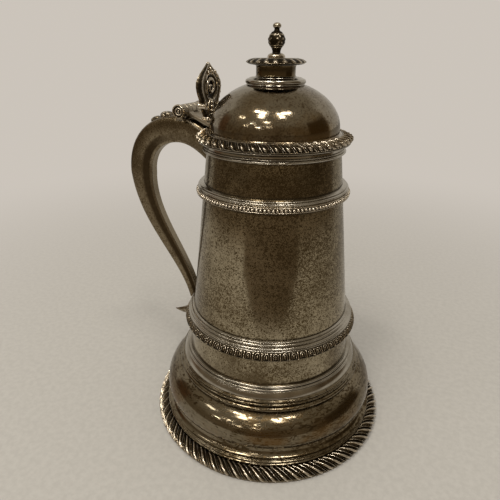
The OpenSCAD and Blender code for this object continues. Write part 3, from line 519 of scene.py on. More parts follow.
def makeMouldings():
    for name, wire in mouldings.items():
        profile = [onBarrel(wire["foot"])] + drawn(wire["section"]) + [onBarrel(wire["top"])]
        ring = spunPiece(closed(profile))
        settle(ring, name, wire["node"], "tankard", "wire", 35, 0.06)


# carved wires of the girdles

# beaded wire: a turned ring with a channel between two thin reeds, and small domes set in it
beadWire = dict(count=130, seamZ=161.8, footZ=157.2, seat=(45.9, 160.2), tilt=24, wide=1.04, high=0.95,
                sunk=0.15, channelHalf=0.85, channelZ=159.3, reedDark=0.15, seatDark=0.4, grid=(8, 4),
                section=[(44.9, 161.8), (45.3, 161.3, 0.52, 0.45, 80, -50, 8), (45.5, 160.95),
                         (45.75, 160.8), (45.9, 160.2), (45.85, 159.6), (45.7, 159.35),
                         (46.0, 158.95, 0.45, 0.3, 100, -90, 8), (44.8, 158.6), (43.5, 158.0)])
# egg wire: shares of the repeat across, and of the carved band from the seam down
eggWire = dict(count=66, seamZ=76.6, footZ=70.5, band=(0.07, 0.58), cut=0.6, plainDark=0.45,
               faceShare=0.9, eggHalf=0.12, eggMiddle=0.58, eggTall=0.3, eggLift=0.6, eggDark=0.65,
               eggGleam=0.4, archR=0.25, archFrom=0.42, archEnd=0.95, archSlope=0.7, archHalf=0.055,
               dartHalf=0.065, dartFlare=0.06, flareTop=0.25, flareFoot=0.8, edgeFall=0.3, edgeDark=0.4,
               grid=(36, 34),
               way=[(55.0, 76.6), (55.7, 76.15), (56.4, 75.1), (57.0, 74.1), (57.45, 73.2), (57.3, 72.5),
                    (56.2, 71.7), (53.6, 70.75)])


def eggFace(s):
    # point and outward normal on the section of the egg wire, s from the seam to the foot
    r, z = alongPoints(eggWire["way"], s)
    r0, z0 = alongPoints(eggWire["way"], s - 0.01)
    r1, z1 = alongPoints(eggWire["way"], s + 0.01)
    n = math.hypot(r1 - r0, z1 - z0)
    return (r, z, (z0 - z1) / n, (r1 - r0) / n)


def eggRelief(u, s):
    # lift and darkness: an egg under a raised arch, with a dart flared at both ends between neighbours; the
    # darkness is tarnish with painted shade in the hollows, and a painted gleam on the egg
    w = eggWire
    start, stop = w["band"]
    t = (s - start) / (stop - start)
    if t < 0 or t > 1:
        return (0.0, w["plainDark"])
    across = abs(u - 0.5)
    egg = 1 - (across / w["eggHalf"]) ** 2 - ((t - w["eggMiddle"]) / w["eggTall"]) ** 2
    if egg > 0:
        return (-w["cut"] + w["eggLift"] * math.sqrt(egg), w["eggDark"] - w["eggGleam"] * math.sqrt(egg))
    below = t - w["archFrom"]
    arch = across if below > 0 else math.hypot(across, below * w["archSlope"])
    ridge = abs(arch - w["archR"]) / w["archHalf"]
    if ridge < 1 and t < w["archEnd"]:
        return (-w["edgeFall"] * ridge * ridge, w["edgeDark"] * ridge * ridge)
    flare = max(0.0, w["flareTop"] - t, t - w["flareFoot"]) / w["flareTop"]
    dart = (0.5 - across) / (w["dartHalf"] + w["dartFlare"] * flare)
    if dart < 1:
        return (-w["edgeFall"] * dart * dart, w["edgeDark"] * dart * dart)
    return (-w["cut"], 1.0)


def eggRepeat():
    # one repeat: the sloping face carries the relief, the back lies against the barrel
    pitch = fullTurn / eggWire["count"]
    faceShare = eggWire["faceShare"]

    def place(u, v):
        turn = (u - 0.5) * pitch
        if v <= faceShare:
            s = v / faceShare
            r, z, nr, nz = eggFace(s)
            lift = eggRelief(u, s)[0]
            r += lift * nr
            z += lift * nz
        else:
            r, z = onBarrel(eggWire["footZ"] if v < 0.999 else eggWire["seamZ"])
        return (r * math.cos(turn), r * math.sin(turn), z)

    def depth(u, v):
        return eggRelief(u, v / faceShare)[1] if v <= faceShare else 1.0

    return formedSheet(*eggWire["grid"], place, depth)


def makeCarvedWires():
    wire = beadWire
    seatR, seatZ = wire["seat"]
    outR, outZ = math.cos(math.radians(wire["tilt"])), math.sin(math.radians(wire["tilt"]))

    # darkness marks: tarnish with painted shade in the channel round the beads
    def channel(r, z):
        near = math.hypot(r - seatR, z - seatZ) < wire["channelHalf"] and z > wire["channelZ"]
        return 1.0 if near else wire["reedDark"]

    def bead(u, v):
        # polar grid: v runs from the crown to the seat
        a = fullTurn * u
        rise = wire["high"] * math.cos(0.5 * math.pi * v) - wire["sunk"]
        reach = math.sin(0.5 * math.pi * v)
        up = wire["high"] * reach * math.sin(a)
        side = wire["wide"] * reach * math.cos(a)
        return (seatR + rise * outR - up * outZ, side, seatZ + rise * outZ + up * outR)

    profile = drawn(wire["section"]) + [onBarrel(wire["footZ"]), onBarrel(wire["seamZ"])]
    ring = spunPiece(closed(profile), depth=channel)
    # the beads darken towards their seat: painted shade where they sit in the channel
    one = weld(formedSheet(*wire["grid"], bead, lambda u, v: wire["seatDark"] * v ** 4))
    beads = joined([ringOf(one, wire["count"]), ring])
    settle(beads, "upperBeadWire", "upper_girdle_beads", "tankard", "cast", 45)
    eggs = ringOf(eggRepeat(), eggWire["count"])
    settle(eggs, "lowerEggWire", "lower_girdle_border", "tankard", "cast", 45)


makeBarrel()
makeMouldings()
makeCarvedWires()
print("barrel done")


# foot

foot = dict(rimR=79.0, bandR=73.1, bandZ=7.25, flangeT=1.8, wall=0.8, edgeR=72.8, coveR=68.6, coveZ=17.8,
            coveDrop=6.0, ovoloR=72.1, ovoloZ=22.5, ovoloW=18.0, grooveR=60.8, ovoloTopZ=38.0,
            innerNeckR=58.6, innerNeckZ=37.2, seatR=57.9, collarZ=46.4,
            # three fine steps over the border, the undercut lip, and the reeds of the neck
            steps=[(72.85, 7.9, 0.5, 0.5, -60, 80, 8), (72.75, 8.6), (72.75, 9.2),
                   (72.6, 9.85, 0.55, 0.55, -60, 80, 8), (72.5, 10.6), (72.65, 11.1),
                   (72.6, 11.45, 0.4, 0.36, -50, 60, 6)], lip=(68.3, 22.5, 3.8, 4.9, -84, -8, 12),
            neck=[(60.3, 38.2), (60.6, 39.95, 1.9, 1.65, -85, 90, 12), (60.0, 41.9),
                  (60.2, 42.85, 0.95, 0.82, -80, 80, 8), (59.85, 43.9),
                  (59.9, 44.9, 0.95, 0.82, -80, 80, 8), (59.8, 45.95), (59.8, 46.4)],
            # long hollow and two beads under the barrel
            collar=[(57.9, 46.4), (59.6, 46.4), (59.6, 46.6), (58.5, 48.5), (57.65, 50.1), (57.1, 50.25),
                    (56.6, 50.95, 0.95, 0.72, -60, 80, 8), (55.4, 52.25, 1.05, 0.95, -60, 90, 10),
                    (54.6, 53.2), (51.1, 53.2), (51.1, 51.8), (53.9, 51.8)])


def makeFoot():
    f = foot
    ovoloIn = f["ovoloR"] - f["ovoloW"]
    ovoloEnd = math.degrees(math.acos((f["grooveR"] - ovoloIn) / f["ovoloW"]))
    ovoloRise = (f["ovoloTopZ"] - f["ovoloZ"]) / math.sin(math.radians(ovoloEnd))
    profile = [(f["rimR"], 0), (f["rimR"], f["flangeT"])]
    profile += [(f["bandR"], f["flangeT"]), (f["bandR"], f["bandZ"])]
    profile += drawn(f["steps"])
    profile += arc(f["edgeR"], f["coveZ"], f["edgeR"] - f["coveR"], f["coveDrop"], 268, 185, 18)
    profile += arc(*f["lip"])
    profile += arc(ovoloIn, f["ovoloZ"], f["ovoloW"], ovoloRise, 0, ovoloEnd, 30)
    profile += drawn(f["neck"])
    # back down on the inside
    underZ = f["collarZ"] - f["wall"]
    profile += [(f["seatR"], f["collarZ"]), (f["seatR"], underZ), (f["innerNeckR"], underZ)]
    profile.append((f["innerNeckR"], f["innerNeckZ"]))
    for r, z in arc(ovoloIn, f["ovoloZ"], f["ovoloW"], ovoloRise, ovoloEnd, 0, 20):
        profile.append((r - f["wall"], z - f["wall"]))
    profile += [(f["coveR"] - f["wall"], f["coveZ"]), (f["coveR"] - f["wall"], 0)]
    settle(spunPiece(closed(profile)), "footShell", "foot_dome", "tankard", "foot", 32, 0.08)
    ring = spunPiece(closed(drawn(f["collar"])))
    settle(ring, "footCollar", "foot_collar", "tankard", "wire", 35, 0.06)


# borders of slanted lobes, shared by the foot, the lid and the gallery

# darkness of the parts: tarnish with painted shade, lightest on the ball and lobe crowns, darkest on the
# back under the border
gadroonDark = dict(ball=0.7, lobe=0.6, fillet=0.5, back=0.8)


def gadroonRelief(border, u, s):
    # lift and darkness: a teardrop that swells to a round tip, with thin fillets beside it; the darkness is
    # tarnish with painted shade in the grooves, and painted highlights on the crowns
    b = border
    start, stop = b["edge"]
    if s < start or s > stop:
        return (b["rim"], b["rimDark"])
    t = (s - start) / (stop - start)
    d = abs(u - b["middle"])
    if "ball" in b:
        middle, long, wide, lift = b["ball"]
        swell = 1 - (d / wide) ** 2 - ((t - middle) / long) ** 2
        if swell > 0:
            return (-b["cut"] + lift * math.sqrt(swell), gadroonDark["ball"] * (1 - math.sqrt(swell)))
    half = b["slim"] + (b["full"] - b["slim"]) * t ** b["swell"]
    if t > b["tip"]:
        half *= math.sqrt(max(0.0, 1 - ((t - b["tip"]) / (1 - b["tip"])) ** 2))
    if d < half:
        bulge = 1 - (d / half) ** 2
        lift = b["lift"] * (b["tail"] + (1 - b["tail"]) * t ** b["swell"]) * bulge
        return (-b["cut"] + lift, gadroonDark["lobe"] * (1 - bulge) + b["tailDark"] * (1 - t))
    for middle in b["fillets"]:
        d = abs(u - middle) / b["filletHalf"]
        if d < 1:
            return (-b["cut"] + b["filletLift"] * (1 - d * d), gadroonDark["fillet"] * d * d)
    return (-b["cut"], b["ground"])


def gadroon(border):
    # one repeat: the carved face runs from the inner edge to the outer one, the back returns under it
    pitch = fullTurn / border["count"]
    faceShare = border["faceShare"]
    face = border["face"]
    ends = []
    for r, z, nr, nz in (face(1), face(0)):
        ends.append((r + border["rim"] * nr, z + border["rim"] * nz))
    back = [ends[0]] + border["heel"] + [ends[1]]

    def place(u, v):
        if v <= faceShare:
            s = v / faceShare
            r, z, nr, nz = face(s)
            lift = gadroonRelief(border, u, s)[0]
            r += lift * nr
            z += lift * nz
        else:
            s = 1 - (v - faceShare) / (1 - faceShare)
            r, z = alongChain(back, 1 - s)
        turn = (u - 0.5 + border["slant"] * s ** border["curl"]) * pitch
        return (r * math.cos(turn), r * math.sin(turn), z)

    def depth(u, v):
        return gadroonRelief(border, u, v / faceShare)[1] if v <= faceShare else gadroonDark["back"]

    return formedSheet(*border["grid"], place, depth)


def makeBorder(border, name, node, body):
    ring = ringOf(gadroon(border), border["count"])
    settle(ring, name, node, body, "cast", 50)


def ellipseFace(cx, cz, rx, rz, start, end):
    # point and outward normal on an ellipse arc
    def face(s):
        a = math.radians(start + (end - start) * s)
        n = math.hypot(math.cos(a) / rx, math.sin(a) / rz)
        return (cx + rx * math.cos(a), cz + rz * math.sin(a), math.cos(a) / rx / n, math.sin(a) / rz / n)
    return face


footGadroon = dict(count=68, grid=(36, 26), slant=1.55, curl=0.66, faceShare=0.84, edge=(0.03, 0.97),
                   rim=-1.1, rimDark=0.8, slim=0.2, full=0.27, middle=0.65, swell=1.2, tail=0.75,
                   tailDark=0.05, tip=0.86, lift=1.6, cut=1.1, ground=1.0, fillets=(0.1, 0.285),
                   filletHalf=0.058, filletLift=1.5, face=ellipseFace(73.7, 2.4, 6.2, 4.1, 98, -10),
                   heel=[(79.0, 1.55), (73.15, 1.85)])

makeFoot()
makeBorder(footGadroon, "footGadroon", "foot_gadroon", "tankard")
print("foot done")


# lid

# the rim of the flange is thinned from below
lidRing = dict(flange=[(36.3, 187.4), (40.9, 187.4), (41.6, 188.2), (44.1, 188.6), (44.4, 188.8),
                       (44.4, 189.25), (40.0, 189.0), (36.3, 189.0)],
               bezel=[(36.3, 183.9), (37.2, 183.9), (37.2, 187.4), (36.3, 187.4)])
lidGadroon = dict(count=48, grid=(34, 26), slant=1.0, curl=0.8, faceShare=0.84, edge=(0.05, 0.93),
                  rim=-0.6, rimDark=0.1, slim=0.06, full=0.08, middle=0.62, swell=1.5, tail=0.7,
                  tailDark=0.4, tip=0.8, lift=0.9, cut=1.0, ground=0.85, ball=(0.76, 0.22, 0.18, 1.85),
                  fillets=(0.08, 0.28), filletHalf=0.055, filletLift=0.9,
                  face=ellipseFace(40.1, 189.9, 5.2, 4.3, 98, -4), heel=[(44.2, 189.3), (39.55, 189.05)])
dome = dict(r=37.6, sideZ=189.0, springZ=196.0, rise=26.0, wall=0.9, holeR=10.0, filletR=39.45,
            filletZ=193.7, filletRound=0.6, filletLip=(0.25, 0.3))


def makeLid():
    flange = spunPiece(closed(lidRing["flange"]))
    settle(flange, "lidFlange", "lid_flange", "lid", "wire", 30, 0.12)
    bezel = spunPiece(closed(lidRing["bezel"]))
    settle(bezel, "lidBezel", "lid_bezel", "lid", "inner", 30, 0.12)
    makeBorder(lidGadroon, "lidGadroon", "lid_gadroon", "lid")
    d = dome
    inR = d["r"] - d["wall"]
    outEnd = math.degrees(math.acos(d["holeR"] / d["r"]))
    inEnd = math.degrees(math.acos(d["holeR"] / inR))
    # a rounded fillet fills the ledge between the dome and its border
    small = d["filletRound"]
    profile = [(inR, d["sideZ"]), (d["filletR"], d["sideZ"])]
    profile += arc(d["filletR"] - small, d["filletZ"] - small, small, small, 0, 90, 6)
    profile += [(d["r"] + d["filletLip"][0], d["filletZ"]), (d["r"], d["filletZ"] + d["filletLip"][1])]
    profile += arc(0, d["springZ"], d["r"], d["rise"], 0, outEnd, 48)
    profile += arc(0, d["springZ"], inR, d["rise"] - d["wall"], inEnd, 0, 32)
    settle(spunPiece(closed(profile)), "lidDome", "lid_dome", "lid", "dome", 30)


# lantern: the torus is drawn from its own height on the dome
lantern = dict(seat=(10.0, 11.5, 13.0, 14.5, 16.0, 16.4), torusUp=1.7, steps=128,
               torus=[(15.35, -0.1, 1.6, 1.5, -60, 75, 12), (15.3, 1.5), (14.4, 1.95)],
               neck=[(13.5, 222.4), (13.0, 222.85, 0.55, 0.5, -60, 90, 8), (12.4, 223.45),
                     (10.0, 223.45)],
               drum=[(10.0, 223.5), (11.7, 224.7, 0.7, 1.2, 270, 180, 6),
                     (11.7, 228.3, 0.7, 1.2, 180, 90, 6), (10.0, 229.5)],
               plate=[(1.55, 229.55), (12.9, 229.55), (12.9, 232.6), (12.4, 233.0), (8.0, 233.0),
                      (6.0, 233.05), (1.55, 233.05)],
               # thin brim of the gallery: sloping top, narrow edge, underside drawn in
               brim=[(12.95, 232.85), (14.6, 232.5), (16.0, 231.7), (16.55, 231.2), (16.5, 230.8),
                     (15.9, 230.3)], brimTurn=(80, -40))


def onDome(r):
    return (r, dome["springZ"] + dome["rise"] * math.sqrt(1 - (r / dome["r"]) ** 2) + solder)


def brimFace(s):
    r, z = alongChain(lantern["brim"], s)
    start, end = lantern["brimTurn"]
    a = math.radians(start + (end - start) * s)
    return (r, z, math.cos(a), math.sin(a))


galleryGadroon = dict(count=20, grid=(16, 16), slant=0.12, curl=1.0, faceShare=0.75, edge=(0.08, 0.9),
                      rim=-0.1, rimDark=0.1, slim=0.2, full=0.4, middle=0.5, swell=1.2, tail=0.5,
                      tailDark=0.1, tip=0.7, lift=0.5, cut=0.35, ground=0.95, fillets=(), face=brimFace,
                      heel=[(15.0, 229.9), (12.95, 229.55)])


def makeLantern():
    n = lantern
    seat = [onDome(r) for r in n["seat"]]
    torusZ = seat[-1][1] + n["torusUp"]
    torus = [(step[0], torusZ + step[1], *step[2:]) for step in n["torus"]]
    collar = spunPiece(closed(seat + drawn(torus + n["neck"])), n["steps"])
    settle(collar, "lanternCollar", "lantern_collar", "lid", "wire", 35, 0.05)
    drum = spunPiece(closed(drawn(n["drum"])), n["steps"])
    settle(drum, "lanternDrum", "lantern_drum", "lid", "drum", 40)
    plate = spunPiece(closed(n["plate"]), n["steps"])
    settle(plate, "galleryPlate", "gallery_plate", "lid", "wire", 30, 0.1)
    makeBorder(galleryGadroon, "galleryBorder", "gallery_gadroon", "lid")


# finial: angles on the ball are in degrees from its middle
finial = dict(baseZ=233.05, baseR=4.9, baseRise=0.4, baseH=2.0, neckR=2.2, neckH=2.7, neckLead=0.7,
              ballZ=241.8, ballR=4.75, ballArc=(-44, 46), ballEnds=(-50, 52), stemR=1.4, stemZ=247.45,
              stemLead=1.38, knobZ=248.75, knobR=2.3, knobH=1.6, knobArc=(-38, 90), across=112,
              rosettes=4, rosetteR=2.7, petals=5, petalIn=0.72, heartR=0.6, heart=(-0.15, 0.55), cut=0.2,
              bandUp=2.9, bandHalf=0.35, band=(-0.05, 0.2), bright=0.15, dull=0.95, dullR=3, dullZ=247.6,
              petalFrom=0.4, petalRise=(0.05, 0.25), petalDark=0.85, petalGleam=0.8, groundDark=0.8)


def cubicPoint(c, t):
    w = ((1 - t) ** 3, 3 * t * (1 - t) ** 2, 3 * t * t * (1 - t), t ** 3)
    return tuple(sum(w[k] * c[k][i] for k in range(4)) for i in range(2))


def cubicWay(c, t):
    w = ((1 - t) ** 2, 2 * t * (1 - t), t * t)
    x, z = (sum(w[k] * (c[k + 1][i] - c[k][i]) for k in range(3)) for i in range(2))
    n = math.hypot(x, z)
    return (x / n, z / n)


def ogee(start, startWay, end, endWay, lead, count):
    # smooth hollow between two points of a turned profile
    curve = (start, (start[0] + startWay[0] * lead, start[1] + startWay[1] * lead),
             (end[0] - endWay[0] * lead, end[1] - endWay[1] * lead), end)
    return [cubicPoint(curve, i / count) for i in range(count + 1)]


def makeFinial():
    f = finial
    ballR = f["ballR"]
    low, high = (math.radians(angle) for angle in f["ballEnds"])
    lowPoint, highPoint = ((ballR * math.cos(a), f["ballZ"] + ballR * math.sin(a)) for a in (low, high))
    lowWay, highWay = ((-math.sin(a), math.cos(a)) for a in (low, high))
    profile = [(0, f["baseZ"]), (f["baseR"], f["baseZ"])]
    profile += arc(f["neckR"], f["baseZ"] + f["baseRise"], f["baseR"] - f["neckR"], f["baseH"], 0, 85, 10)
    profile += ogee((f["neckR"], f["baseZ"] + f["neckH"]), (0, 1), lowPoint, lowWay, f["neckLead"], 6)
    first = len(profile)
    profile += arc(0, f["ballZ"], ballR, ballR, *f["ballArc"], 24)
    last = len(profile)
    profile += ogee(highPoint, highWay, (f["stemR"], f["stemZ"]), (0, 1), f["stemLead"], 8)
    profile += arc(0, f["knobZ"], f["knobR"], f["knobH"], *f["knobArc"], 12)
    rows = len(profile) - 1

    def relief(u, k):
        # lift and darkness: rosettes round the ball, cut back between them; the darkness is tarnish with
        # painted shade on the ground, and a painted gleam on the swelling petals
        if not first <= k < last:
            proud = profile[k][0] > f["dullR"] or profile[k][1] > f["dullZ"]
            return (0.0, f["bright"] if proud else f["dull"])
        start, end = f["ballArc"]
        lat = math.radians(start + (end - start) * (k - first) / (last - 1 - first))
        side = ((u * f["rosettes"]) % 1.0 - 0.5) * fullTurn / f["rosettes"] * ballR * math.cos(lat)
        up = lat * ballR
        reach = math.hypot(side, up)
        petal = 0.5 + 0.5 * math.cos(f["petals"] * math.atan2(up, side) - 0.5 * math.pi)
        edge = f["rosetteR"] * (f["petalIn"] + (1 - f["petalIn"]) * petal)
        if reach < f["heartR"]:
            return f["heart"]
        if reach < edge:
            least, more = f["petalRise"]
            swell = math.sin(math.pi * min(1.0, (reach - f["petalFrom"]) / (edge - f["petalFrom"])))
            dark = f["petalDark"] - f["petalGleam"] * petal * swell
            return (-f["cut"] + (least + more * petal) * swell, dark)
        if abs(abs(up) - f["bandUp"]) < f["bandHalf"]:
            return f["band"]
        return (-f["cut"], f["groundDark"])

    def place(u, v):
        k = round(v * rows)
        r = max(0.0, profile[k][0] + relief(u, k)[0])
        return (r * math.cos(fullTurn * u), r * math.sin(fullTurn * u), profile[k][1])

    def depth(u, v):
        return relief(u, round(v * rows))[1]

    bud = weld(formedSheet(f["across"], rows, place, depth), caps=True)
    settle(bud, "finialBud", "finial", "lid", "cast", 50)


makeLid()
makeLantern()
makeFinial()
print("lid done")


# handle

# sizes go from the root over the crown and the grip to the lower end; side has shares of half the width and
# of the thickness, from the ridge to the bevel
handle = dict(root=(36.4, 178.3), crown=(63.5, 191.3), grip=(94.5, 160.2), end=(58.45, 71.6),
              rootLead=(9.4, 8.6), crownIn=9.0, crownOut=16.3, gripUp=20.4, gripDown=35.0,
              endLead=(5.5, 30.3), thick=(16.5, 16.5, 16.9, 6.0), wide=(13.0, 13.0, 11.2, 8.0),
              strap=(7.0, 7.0, 5.9, 4.8), taper=0.8, steps=96, shoulder=0.16, backRound=0.6,
              side=((0.985, 0.06), (0.96, -0.07), (0.88, -0.19), (0.68, -0.39), (0.62, -0.44)),
              # the darkness values paint reflections: a dark band on the bevel, deeper below the crown, and
              # a light inner edge
              sideDark=0.4, bevelPaintedDark=0.6, lowerPaintedDark=0.45, paintedDarkFrom=0.38, paintedDarkRun=0.14,
              edgeDark=(0.2, 0.1), stripIn=0.25, stripProud=0.15, stripDeep=0.6, cut=(150.0, 215.0),
              cutIn=0.5)


def handleCurves():
    h = handle
    root, crown, grip, end = h["root"], h["crown"], h["grip"], h["end"]
    rootLead = (root[0] + h["rootLead"][0], root[1] + h["rootLead"][1])
    endLead = (end[0] + h["endLead"][0], end[1] + h["endLead"][1])
    return [(root, rootLead, (crown[0] - h["crownIn"], crown[1]), crown),
            (crown, (crown[0] + h["crownOut"], crown[1]), (grip[0], grip[1] + h["gripUp"]), grip),
            (grip, (grip[0], grip[1] - h["gripDown"]), endLead, end)]


def handleAt(share):
    # centre, way, thickness, width and strap width at a share of the handle's length
    k = min(int(share * 3), 2)
    t = share * 3 - k
    curve = handleCurves()[k]
    sizes = []
    for row in (handle["thick"], handle["wide"], handle["strap"]):
        sizes.append(row[k] + (row[k + 1] - row[k]) * t ** handle["taper"])
    return (cubicPoint(curve, t), cubicWay(curve, t), *sizes)


def besideCurve(centre, way, sideways, outwards):
    return (-(centre[0] - way[1] * outwards), sideways, centre[1] + way[0] * outwards)


def keystone(thick, wide, strap):
    # flattened back, upright sides with a ridge, and a bevel to the strap, as (sideways, outwards) points
    w = wide / 2
    shoulder = handle["shoulder"] * thick
    power = handle["backRound"]
    half = []
    for i in range(10):
        a = 0.5 * math.pi * i / 9
        half.append((w * math.sin(a) ** power, shoulder + (thick / 2 - shoulder) * math.cos(a) ** power))
    half += [(w * x, y * thick) for x, y in handle["side"]] + [(strap / 2, -thick / 2)]
    return [(-x, y) for x, y in half[:0:-1]] + half


def strip(thick, wide, strap):
    # flat strip let into the inner side
    w = strap / 2 - handle["stripIn"]
    low = -thick / 2 - handle["stripProud"]
    high = -thick / 2 + handle["stripDeep"]
    return [(-w, low), (-w, high), (w, high), (w, low)]


def cutToBarrel(piece):
    # takes away what would stand inside the barrel
    low, high = handle["cut"]
    lowR, highR = ((barrelR(z) - handle["cutIn"]) * mm for z in (low, high))
    clearSelection()
    bpy.ops.mesh.primitive_cone_add(vertices=128, radius1=lowR, radius2=highR, depth=(high - low) * mm,
                                    location=(0, 0, (low + high) / 2 * mm))
    inside = bpy.context.object
    pick(piece)
    cut = piece.modifiers.new("cut", "BOOLEAN")
    cut.operation = "DIFFERENCE"
    cut.solver = "EXACT"
    cut.object = inside
    bpy.ops.object.modifier_apply(modifier=cut.name)
    bpy.data.objects.remove(inside)


def sweptHandle(section, sides, depth=None):
    def place(u, v):
        centre, way, *sizes = handleAt(v)
        return besideCurve(centre, way, *section(*sizes)[round(u * sides) % sides])

    piece = weld(formedSheet(sides, handle["steps"], place, depth), caps=True)
    cutToBarrel(piece)
    return piece


def makeHandle():
    h = handle
    sides = len(keystone(1, 1, 1))

    def depth(u, v):
        # the side is dull; the bevel gets a painted dark reflection, deeper below the crown, and its inner
        # edge a painted light reflection
        step = abs(round(u * sides) % sides - sides // 2)
        dark = h["bevelPaintedDark"] + h["lowerPaintedDark"] * clamp((v - h["paintedDarkFrom"]) / h["paintedDarkRun"])
        return (h["sideDark"], dark, dark, *h["edgeDark"])[max(0, step - sides // 2 + 4)]

    shell = sweptHandle(keystone, sides, depth)
    settle(shell, "handleShell", "handle_shell", "tankard", "handle", 35)
    strap = sweptHandle(strip, 4)
    settle(strap, "handleStrap", "handle_strap", "tankard", "handle", 35)


tail = dict(root=(58.0, 74.6), lead=(57.8, 62.5), belly=(60.0, 54.9), tip=(76.94, 54.9), rootT=4.8,
            rootW=7.6, fullT=7.0, pointT=0.4, keel=1.3, dark=0.25, grid=(24, 28))
# places are shares of the way from the crown to the grip
drops = [dict(place=0.165, long=4.7, wide=4.2, high=3.0), dict(place=0.315, long=3.9, wide=3.2, high=2.3)]
dropLeaf = dict(lobes=2.5, edgeIn=0.8, crown=0.85, cuts=1.12, rib=0.15, ribHalf=0.16, sunk=0.2, cutDark=3,
                edgeDark=0.3, grid=(40, 14))


def makeTail():
    t = tail
    curve = (t["root"], t["lead"], t["belly"], t["tip"])

    def place(u, v):
        swell = 6.75 * v * v * (1 - v)  # reaches 1 at two thirds of the way
        thick = t["rootT"] * (1 - v) + t["pointT"] * v + (t["fullT"] - t["rootT"] * 0.5) * swell
        wide = t["rootW"] * (1 - v ** 3) + t["pointT"] * v
        a = fullTurn * u
        ridge = abs(math.sin(a)) ** t["keel"] * math.copysign(1, math.sin(a))  # a keel along the leaf
        sideways = wide / 2 * math.cos(a)
        return besideCurve(cubicPoint(curve, v), cubicWay(curve, v), sideways, thick / 2 * ridge)

    leaf = weld(formedSheet(*t["grid"], place, lambda u, v: t["dark"]), caps=True)
    settle(leaf, "handleTail", "handle_tail", "tankard", "cast", 40)


def dropRelief(u, v):
    # edge, rise and darkness of a leaf with curled lobes round its edge and a raised middle rib; the
    # darkness is tarnish with painted shade in the cuts and towards the edge
    leaf = dropLeaf
    a = fullTurn * u
    lobes = abs(math.cos(leaf["lobes"] * a))
    edge = leaf["edgeIn"] + (1 - leaf["edgeIn"]) * lobes
    cuts = leaf["cuts"] * v * (1 - v) * (1 - lobes) ** 2
    rib = leaf["rib"] * math.exp(-(v * math.sin(a) / leaf["ribHalf"]) ** 2)
    rise = math.sqrt(max(0.0, 1 - v ** 4)) * leaf["crown"] - cuts + rib
    return (edge, rise, min(1.0, cuts * leaf["cutDark"] + leaf["edgeDark"] * v))


def makeDrop(drop):
    centre, way, thick, wide = handleAt((1 + drop["place"]) / 3)[:4]
    backR = wide / 2
    axis = (centre[0] - way[1] * (thick / 2 - backR), centre[1] + way[0] * (thick / 2 - backR))

    def place(u, v):
        a = fullTurn * u
        edge, rise, dark = dropRelief(u, v)
        lengthwise = drop["long"] * edge * v * math.cos(a)
        turn = drop["wide"] * edge * v * math.sin(a) / backR
        out = backR - dropLeaf["sunk"] + drop["high"] * rise
        rho = axis[0] + way[0] * lengthwise - way[1] * out * math.cos(turn)
        z = axis[1] + way[1] * lengthwise + way[0] * out * math.cos(turn)
        return (-rho, out * math.sin(turn), z)

    return weld(formedSheet(*dropLeaf["grid"], place, lambda u, v: dropRelief(u, v)[2]), caps=True)


makeHandle()
makeTail()
leaves = joined([makeDrop(drop) for drop in drops])
settle(leaves, "handleDrops", "handle_drops", "tankard", "cast", 50)
print("handle done")


# hinge

# the cap has a raised rim, a sunk ring, an inner ring and a button; sunk gives the radii of its dark rings,
# tarnish with painted shade
hinge = dict(x=56.2, z=203.2, r=3.7, length=25.0, knuckles=5, gap=0.3, chamfer=0.2, edge=0.45,
             plateZ=197.6, plateT=1.2, plateW=13.0, plateStart=46.05, plateEnd=60.6, slopeX=55.8,
             slopeRise=0.64, slopeT=1.44, slopeLap=0.42, web=1.1, railLip=0.6, leafEnd=(37.65, 194.5),
             leafT=1.7, leafW=15.0, toeLap=0.6, leafGap=0.5, neckLap=1.5, neckHalf=1.5,
             cap=[(0, 0), (4.15, 0), (4.15, 0.9), (4.0, 1.35), (3.75, 1.6), (3.4, 1.55), (3.2, 1.2),
                  (3.1, 0.8), (2.5, 0.8), (2.35, 1.15), (2.0, 1.3), (1.6, 1.15), (1.4, 0.85), (0.9, 0.85),
                  (0.7, 1.15), (0, 1.3)], sunk=((0.85, 1.45), (2.45, 3.15)))
pitch = hinge["length"] / hinge["knuckles"]
knuckleLong = pitch - hinge["gap"]


def slab(outline, width, middle=0.0):
    # side outline of (distance from the axis, height), drawn out sideways
    clearSelection()
    bpy.ops.mesh.primitive_circle_add(vertices=len(outline), fill_type="NGON")
    piece = bpy.context.object
    for vertex, (rho, z) in zip(piece.data.vertices, outline):
        vertex.co = Vector((-rho, middle - width / 2, z)) * mm
    openMesh()
    bpy.ops.mesh.extrude_region_move(TRANSFORM_OT_translate={"value": (0, width * mm, 0)})
    cleanMesh()
    return piece


def upright(half, top):
    # oblong side outline on the plate, about the hinge line
    near, far, low = hinge["x"] - half, hinge["x"] + half, hinge["plateZ"]
    return [(near, low), (far, low), (far, top), (near, top)]


def laidDown(piece, turn, place):
    # turns a spun piece and moves its foot to a place in millimetres
    piece.rotation_euler = [math.radians(angle) for angle in turn]
    piece.location = Vector(place) * mm
    bpy.ops.object.transform_apply(location=True, rotation=True, scale=True)
    return piece


def onHinge(profile, y, side, depth=None):
    # a turned piece laid along the hinge line
    return laidDown(spunPiece(profile, 56, depth), (-90 * side, 0, 0), (-hinge["x"], y, hinge["z"]))


def offset(k):
    # middle of a knuckle along the hinge line
    return (k - hinge["knuckles"] // 2) * pitch


def knuckle(k):
    r, small, long = hinge["r"], hinge["chamfer"], knuckleLong
    profile = [(0, 0), (r - small, 0), (r, small), (r, long - small), (r - small, long), (0, long)]
    return onHinge(profile, offset(k) - long / 2, 1)


